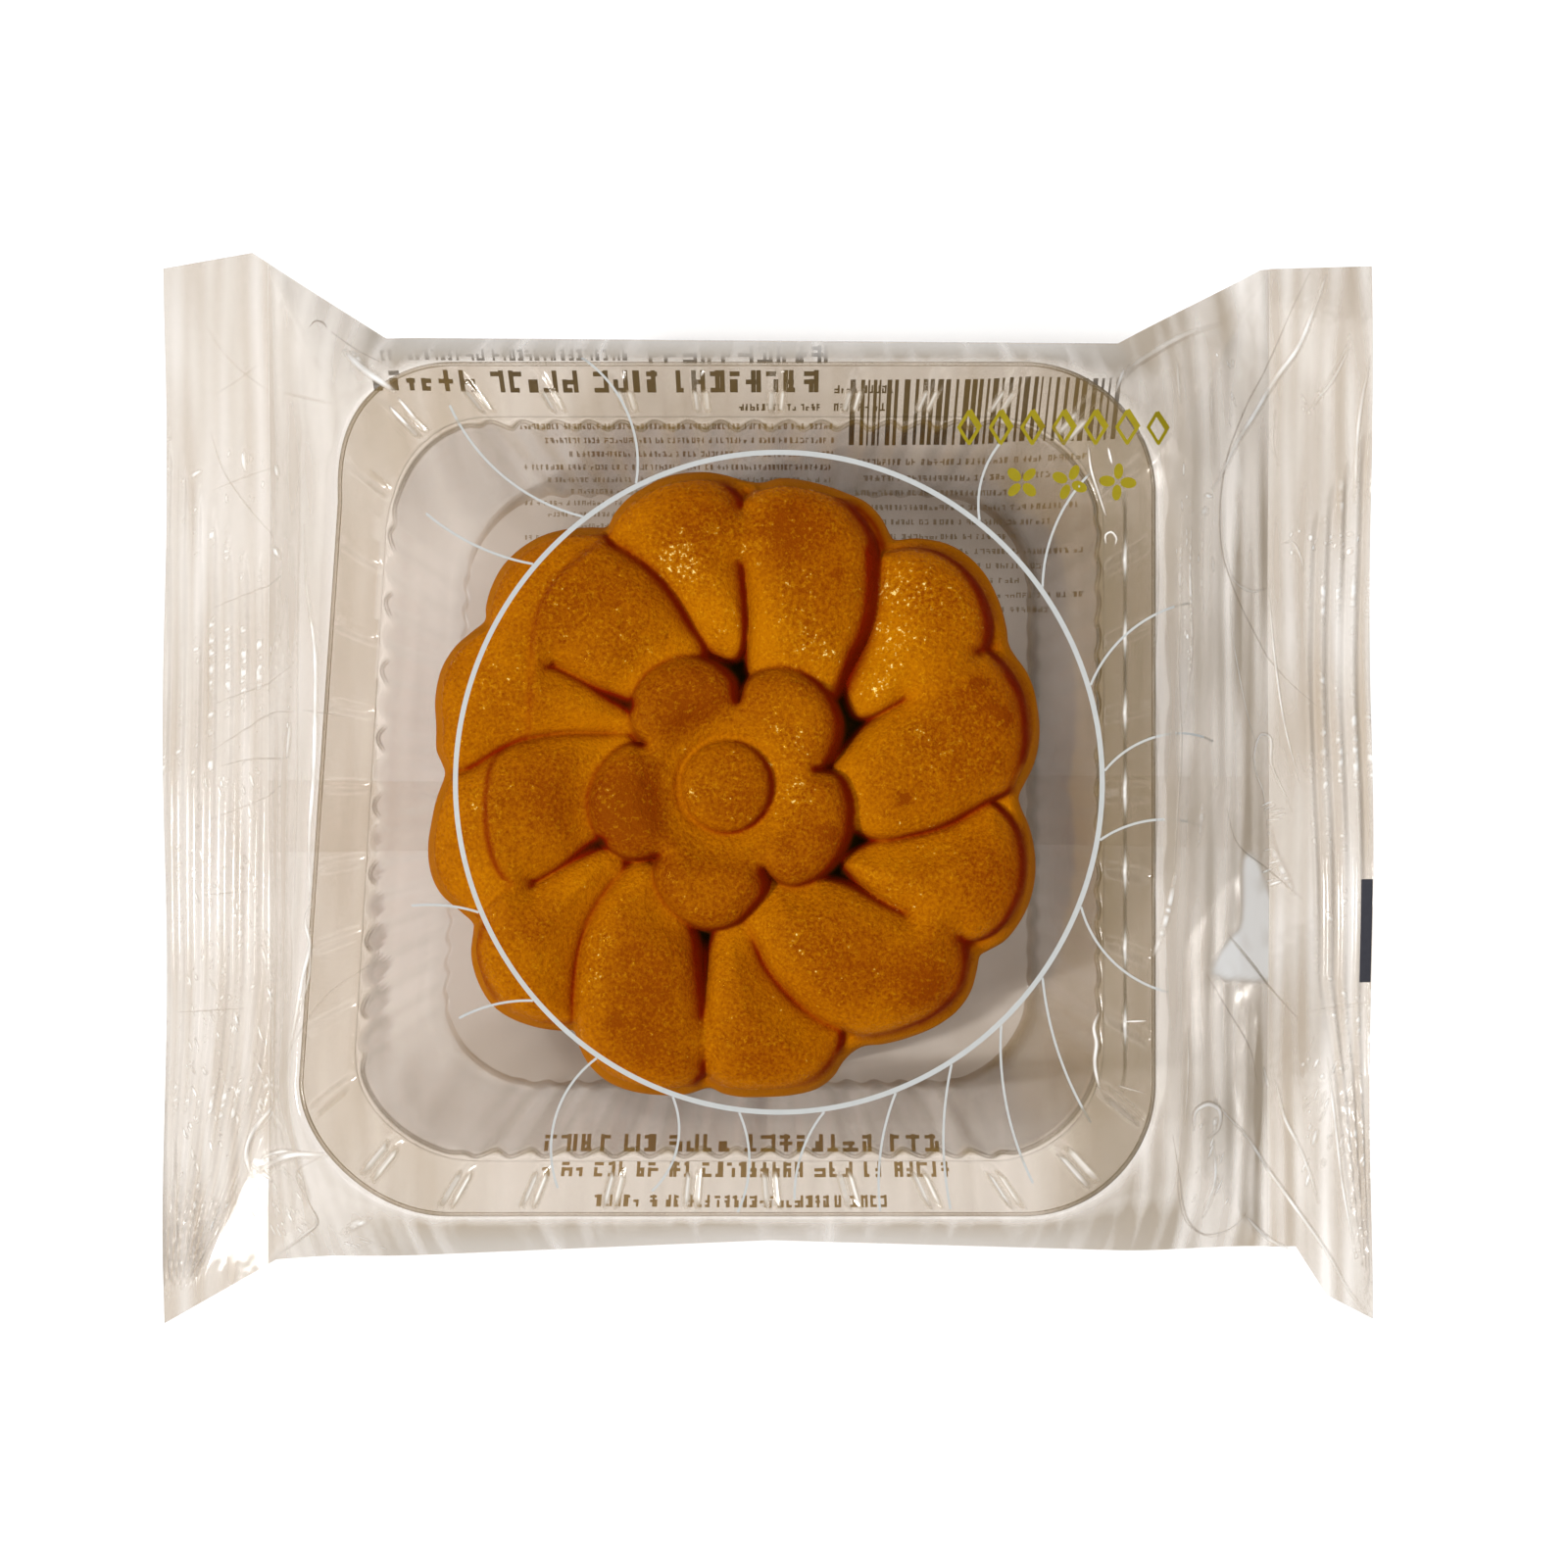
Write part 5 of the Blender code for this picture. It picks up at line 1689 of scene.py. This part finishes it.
        # Painted shade for the creases, the slopes turned from the light and the holes.
        crease_shade = self.soften(self.crease_shading(x, y, height, depth))
        glaze_and_sparkle = sum(share * bell(np.hypot(x - a, y - b), size) for a, b, size, share in self.glazed_and_sparkle_spots)
        reach = np.linalg.norm(plan[border], axis=1)
        away = plan[border] / reach[:, None]
        layers, brown_rows, crease_shade_rows = [np.column_stack([plan, z])], [browned], [crease_shade]
        numbers, total = border, len(plan)
        for row in range(1, self.wall_rows + 1):
            share = (row / self.wall_rows) ** 1.25
            level = mix(z[border], self.foot_height, share)
            over = (level - self.wall_widest) / np.where(level > self.wall_widest, *self.wall_rounds)
            tuck = self.foot_tuck * max(0.0, (share - 0.93) / 0.07) ** 2
            grow = self.wall_grow * np.sqrt(np.clip(1 - over**2, 0, None)) - tuck
            wobble = 0.22 * lumps(away[:, 0] * 38, away[:, 1] * 38 + level, 8.0, 1.0)
            layers.append(np.column_stack([away * (reach + grow + wobble)[:, None], level]))
            new = np.arange(total, total + len(border))
            faces += list(zip(numbers, new, np.roll(new, -1), np.roll(numbers, -1)))
            numbers, total = new, total + len(border)
            brown_rows.append(np.full(len(border), 0.7 * share - 0.2))
            crease_shade_rows.append(np.zeros(len(border)))
        layers.append(np.array([[0.0, 0.0, self.foot_height]]))
        faces += [(a, total, b) for a, b in zip(numbers, np.roll(numbers, -1))]
        marks = {
            "browned": np.append(np.concatenate(brown_rows), 0.6),
            "crease_shade": np.append(np.concatenate(crease_shade_rows), 0.0),
            "glaze_and_sparkle": np.append(np.clip(glaze_and_sparkle, 0, 1.2), np.full(total - len(plan) + 1, self.wall_matt)),
        }
        points = np.vstack(layers) + (*self.middle, 0.0)
        add_piece("mooncake", points, faces, self.finish.material(), Slot.CRUST, marks)


@dataclass
class Print:
    """The print on the film, as plain shapes that lie on it."""

    form: BagForm
    ring_middle: Point = (1.1, 1.0)
    ring_radii: Point = (37.9, 38.7)
    ring_width: float = 0.6
    line_width: float = 0.28
    arcs: tuple[tuple[float, float, float, float], ...] = (
        (-22, -52, 62, 15), (-36, -48, 26, 18), (-47, -46, 30, 19), (-58, -44, 24, 17), (-69, -42, 28, 14),
        (-82, -46, 40, 11), (-97, 30, -50, 12), (2, 48, -74, 15), (-10, 44, -56, 13), (17, 50, -58, 16),
        (36, 52, -44, 15), (52, 46, -50, 10), (116, -34, 66, 17), (127, 38, -52, 21), (139, 30, -30, 14),
        (203, -40, 24, 8), (221, -42, 30, 9), (236, -18, 74, 17), (251, 40, -70, 12),
    )
    back_gap: float = 0.3
    seal_gap: float = 0.55
    lozenges_at: Point = (23.4, 42.6)
    lozenge_pitch: float = 3.7
    lozenge_count: int = 7
    blossoms_at: Point = (29.6, 36.2)
    blossom_pitch: float = 5.6
    blossom_count: int = 3
    stripes_across: Point = (10.0, 43.5)
    stripes_up: Point = (44.4, 51.2)
    edge_box: tuple[float, float, float, float] = (73.9, -24.1, 75.4, -11.1)
    white: InkFinish = InkFinish("white_print", (0.53, 0.54, 0.53), (0.46, 0.47, 0.46))
    gold: InkFinish = InkFinish("gold_print", (0.33, 0.27, 0.004), (0.25, 0.19, 0.003), 0.4)
    dark: InkFinish = InkFinish("dark_print", (0.06, 0.055, 0.05), (0.11, 0.10, 0.09))
    black: InkFinish = InkFinish("black_print", (0.035, 0.035, 0.045), (0.05, 0.05, 0.06))
    faint: InkFinish = InkFinish("faint_print", (0.42, 0.35, 0.26), (0.53, 0.46, 0.36))
    brown: InkFinish = InkFinish("brown_print", (0.44, 0.32, 0.15), (0.54, 0.42, 0.25))

    def on_front(self, x: Array, y: Array) -> Array:
        """Give the height just above the front film."""
        return self.form.front(x, y)

    def on_back(self, x: Array, y: Array) -> Array:
        """Give the height just inside the back film."""
        return self.form.back(x, y) + self.back_gap

    def on_seal(self, x: Array, y: Array) -> Array:
        """Give the height just above the right end seal."""
        return self.form.seal(x, y) + self.seal_gap

    def ribbon(self, line: Array, width: float,
               height: Callable[[Array, Array], Array]) -> tuple[Array, Array]:
        """Lay a ribbon of ink along a line in plan.

        Args:
            line: The line's points.
            width: The ribbon's width.
            height: What gives the height at points.

        Returns:
            The ribbon's points and faces.
        """
        run = np.gradient(line, axis=0)
        side = np.stack([-run[:, 1], run[:, 0]], axis=-1) / np.linalg.norm(run, axis=1, keepdims=True)
        left, right = line + side * width / 2, line - side * width / 2
        rows = np.stack([right, line, left], axis=1)
        z = height(rows[..., 0], rows[..., 1])
        return np.concatenate([rows, z[..., None]], axis=-1).reshape(-1, 3), grid_faces(len(line), 3)

    def patches(self, boxes: Iterable[tuple[float, float, float, float]],
                height: Callable[[Array, Array], Array]) -> tuple[Array, Array]:
        """Lay small rectangles of ink on the film.

        Args:
            boxes: Each rectangle's left, bottom, right and top.
            height: What gives the height at points.

        Returns:
            The rectangles' points and faces.
        """
        points, faces, start = [], [], 0
        for left, bottom, right, top in boxes:
            along = np.linspace(left, right, max(2, int((right - left) / 1.5) + 2))
            up = np.linspace(bottom, top, max(2, int((top - bottom) / 1.5) + 2))
            x, y = np.meshgrid(along, up, indexing="ij")
            points.append(as_points(x, y, height(x, y)))
            faces.append(grid_faces(*x.shape) + start)
            start += x.size
        return np.concatenate(points), np.concatenate(faces)

    def joined(self, parts: Sequence[tuple[Array, Array]]) -> tuple[Array, Array]:
        """Join several sets of points and faces into one."""
        points, faces, start = [], [], 0
        for more, these in parts:
            points.append(more)
            faces.append(these + start)
            start += len(more)
        return np.concatenate(points), np.concatenate(faces)

    def make_ring(self, material: bpy.types.Material) -> None:
        """Make the white ring round the cake."""
        turn = np.linspace(0, 2 * math.pi, 361)
        line = np.column_stack([
            self.ring_middle[0] + self.ring_radii[0] * np.cos(turn),
            self.ring_middle[1] + self.ring_radii[1] * np.sin(turn),
        ])
        points, faces = self.ribbon(line, self.ring_width, self.on_front)
        add_piece("white_ring", points, faces, material, Slot.WHITE)

    def make_rays(self, material: bpy.types.Material) -> None:
        """Make the fine white arcs that spring from the ring."""
        parts = []
        for start, lean, bend, length in self.arcs:
            turn, steps = math.radians(start), 24
            heading = turn + np.radians(lean + bend * np.linspace(0, 1, steps))
            step = length / (steps - 1)
            run = np.column_stack([np.cos(heading), np.sin(heading)])[:-1] * step
            radii = np.array(self.ring_radii) + 0.33
            foot = np.array(self.ring_middle) + radii * (math.cos(turn), math.sin(turn))
            line = np.vstack([foot, foot + np.cumsum(run, axis=0)])
            parts.append(self.ribbon(line, self.line_width, self.on_front))
        points, faces = self.joined(parts)
        add_piece("white_lines", points, faces, material, Slot.WHITE)

    def make_gold(self, material: bpy.types.Material) -> None:
        """Make a small gold ornament of open lozenges and blossoms at the upper right."""
        parts = []
        lozenge = np.array([(1.2, 0.0), (0.0, 1.9), (-1.2, 0.0), (0.0, -1.9)])
        for k in range(self.lozenge_count):
            centre = np.array(self.lozenges_at) + (self.lozenge_pitch * k, 0.0)
            for start, end in zip(lozenge, np.roll(lozenge, -1, axis=0)):
                width = 0.75 if start[0] > 0.5 else 0.4
                side = centre + start + np.linspace(-0.04, 1.04, 5)[:, None] * (end - start)
                parts.append(self.ribbon(side, width, self.on_front))
        ring = np.radians(np.arange(0, 360, 30))
        fan = np.array([[(2 * i) % 12, (2 * i + 1) % 12, (2 * i + 2) % 12, 12] for i in range(6)])
        for k, quarter in np.ndindex(self.blossom_count, 4):
            turn = math.radians(45 + 90 * quarter + 20 * k)
            ahead = np.array([math.cos(turn), math.sin(turn)])
            centre = np.array([self.blossoms_at]) + (self.blossom_pitch * k, 0.0) + 1.25 * ahead
            long, wide = 0.95 * np.cos(ring), (0.55 + 0.1 * (quarter % 2)) * np.sin(ring)
            petal = centre + long[:, None] * ahead + wide[:, None] * (-ahead[1], ahead[0])
            points = np.vstack([petal, centre])
            parts.append((np.column_stack([points, self.on_front(*points.T)]), fan))
        add_piece("gold_ornament", *self.joined(parts), material, Slot.GOLD)

    def words(self, left: float, right: float, y: float, height: float, seed: int,
              wide: Point = (0.5, 0.9)) -> list[tuple[float, float, float, float]]:
        """Lay out a row of plain strokes where a line of small print was.

        Args:
            left: Where the row starts.
            right: Where it ends.
            y: Its middle in plan.
            height: How tall its strokes are.
            seed: What the strokes are drawn from.
            wide: The narrowest and widest group of strokes, as a share of the height.

        Returns:
            The strokes as rectangles.
        """
        rng = np.random.default_rng(seed)
        boxes, x, low, thin = [], left, y - height / 2, 0.27 * height
        while x < right:
            width = height * rng.uniform(*wide)
            for at in rng.choice([0.0, 0.5, 1.0], rng.integers(1, 3), replace=False):
                start = x + at * (width - thin)
                top = low + height * rng.choice([1.0, 1.0, 0.6])
                boxes.append((start, low, start + thin, top))
            for at in rng.choice([0.0, 0.5, 1.0], rng.integers(1, 3), replace=False):
                start = low + at * (height - thin)
                boxes.append((x, start, x + width * rng.uniform(0.6, 1.0), start + thin * 0.8))
            x += width + height * (0.28 if rng.random() < 0.83 else 0.9)
        return boxes

    def make_back(self) -> None:
        """Make the print on the back film: rows, stripes and fine rows."""
        rng = np.random.default_rng(5)
        rows = self.words(-49.5, 5.5, 51.0, 2.2, 1) + self.words(-48.0, -18.0, 53.6, 1.1, 2)
        rows += self.words(-15.0, 6.0, 53.6, 1.7, 3, (0.8, 1.2)) + self.words(-4.0, 6.0, 48.4, 0.7, 4)
        rows += self.words(8.0, 15.0, 50.2, 0.8, 5) + self.words(8.0, 14.0, 48.4, 0.8, 6)
        x, last = self.stripes_across
        low, high = self.stripes_up
        while x < last:
            width = rng.uniform(0.2, 0.8)
            lean = 0.4 * float(lumps(np.array(x), np.array(0.0), 9.0, 3.0))
            rows.append((x, low + lean, x + width, high + lean))
            x += width + rng.uniform(0.25, 0.75)
        add_piece("dark_rows", *self.patches(rows, self.on_back), self.dark.material(), Slot.DARK)
        patch = self.patches([self.edge_box], self.on_seal)
        add_piece("edge_patch", *patch, self.black.material(), Slot.DARK)
        fine = []
        for k in range(11):
            fine += self.words(-32.0 + 3 * (k % 3), 8.0, 46.4 - 1.5 * k, 0.62, 20 + k)
            fine += self.words(11.0 + k % 2, 40.0 - 4 * (k % 3), 42.5 - 1.9 * k, 0.7, 40 + k)
        add_piece("faint_rows", *self.patches(fine, self.on_back), self.faint.material(), Slot.DARK)
        brown = self.words(-29.0, 22.0, -45.2, 1.9, 60, (0.7, 1.1))
        brown += self.words(-29.0, 22.0, -48.0, 1.6, 61) + self.words(-22.0, 14.0, -51.2, 1.2, 62)
        add_piece("brown_rows", *self.patches(brown, self.on_back), self.brown.material(), Slot.GOLD)

    def build(self) -> None:
        """Make every printed shape."""
        white = self.white.material()
        self.make_ring(white)
        self.make_rays(white)
        self.make_gold(self.gold.material())
        self.make_back()


@dataclass
class Studio:
    """The pale floor, the soft lights and the camera straight above."""

    camera_height: float = 334.0
    camera_at: Point = (1.7, 0.8)
    seen_width: float = 183.5
    seen_at: float = 34.0
    sensor: float = 36.0
    floor_colour: Colour = (0.94, 0.94, 0.94)
    seen_surround: Colour = (0.95, 0.95, 0.95)
    dim_surround: Colour = (0.12, 0.12, 0.12)
    lights: tuple[tuple[str, tuple[float, float, float], Point, float], ...] = (
        ("key", (-1.65, -0.48, 2.05), (0.45, 0.70), 24.0),
        ("spark", (-1.65, -0.48, 2.05), (0.09, 0.13), 23.0),
        ("far_fill", (-0.4, 1.2, 2.5), (1.8, 1.2), 16.0),
        ("right_fill", (1.3, 0.1, 2.4), (1.2, 1.8), 21.0),
        ("near_fill", (-0.2, -1.3, 2.5), (1.8, 1.2), 17.0),
    )
    floor_half: float = 6000.0

    def add_floor(self) -> None:
        """Make the floor."""
        half = self.floor_half
        corners = np.array([(-half, -half, 0), (half, -half, 0), (half, half, 0), (-half, half, 0)], float)
        mesh = bpy.data.meshes.new("floor")
        mesh.from_pydata((corners * MM).tolist(), [], [(0, 1, 2, 3)])
        graph = Graph.for_material("floor")
        mesh.materials.append(graph.finish(graph.node("ShaderNodeBsdfPrincipled", None, {
            "Base Color": self.floor_colour, "Roughness": 0.9, "Specular IOR Level": 0.0,
        })))
        floor = bpy.data.objects.new("floor", mesh)
        bpy.context.scene.collection.objects.link(floor)

    def add_light(self, name: str, at: tuple[float, float, float], size: Point, power: float) -> None:
        """Add a soft box that faces the pack.

        Args:
            name: The light's name.
            at: Its place, in metres.
            size: Its width and height, in metres.
            power: Its power in watts.
        """
        light = bpy.data.lights.new(name, "AREA")
        light.shape = "RECTANGLE"
        light.size, light.size_y = size
        light.energy = power
        lamp = bpy.data.objects.new(name, light)
        lamp.location = at
        lamp.rotation_euler = (-Vector(at)).to_track_quat("-Z", "Y").to_euler()
        bpy.context.scene.collection.objects.link(lamp)

    def add_world(self) -> None:
        """Make a pale surround that gives little light of its own."""
        graph = Graph(bpy.data.worlds.new("surround"))
        seen = graph.node("ShaderNodeBackground", None, {"Color": self.seen_surround})
        dim = graph.node("ShaderNodeBackground", None, {"Color": self.dim_surround})
        straight = graph.node("ShaderNodeLightPath", output="Is Camera Ray")
        chosen = graph.shader_mix(straight, dim, seen)
        graph.node("ShaderNodeOutputWorld", None, {"Surface": chosen})
        bpy.context.scene.world = graph.owner

    def add_camera(self) -> None:
        """Add the camera, which looks straight down."""
        camera = bpy.data.cameras.new("camera")
        camera.sensor_width = self.sensor
        away = self.camera_height - self.seen_at
        camera.lens = self.sensor * away / self.seen_width
        camera.clip_start = 0.01
        viewer = bpy.data.objects.new("camera", camera)
        viewer.location = (self.camera_at[0] * MM, self.camera_at[1] * MM, self.camera_height * MM)
        bpy.context.scene.collection.objects.link(viewer)
        bpy.context.scene.camera = viewer

    def build(self) -> None:
        """Make the floor, the lights, the surround and the camera."""
        scene = bpy.context.scene
        scene.view_settings.view_transform = "Standard"
        cycles = scene.cycles
        cycles.max_bounces, cycles.diffuse_bounces, cycles.glossy_bounces = 3, 2, 1
        cycles.transparent_max_bounces = 32
        cycles.use_light_tree = False
        self.add_floor()
        self.add_world()
        for light in self.lights:
            self.add_light(*light)
        self.add_camera()


def main() -> None:
    """Build the pack and its studio."""
    logging.basicConfig(level=logging.INFO, format="%(message)s")
    form = BagForm()
    Studio().build()
    Mooncake().build()
    Tray(form).build()
    FilmBag(form).build()
    Print(form).build()


if __name__ == "__main__":
    main()
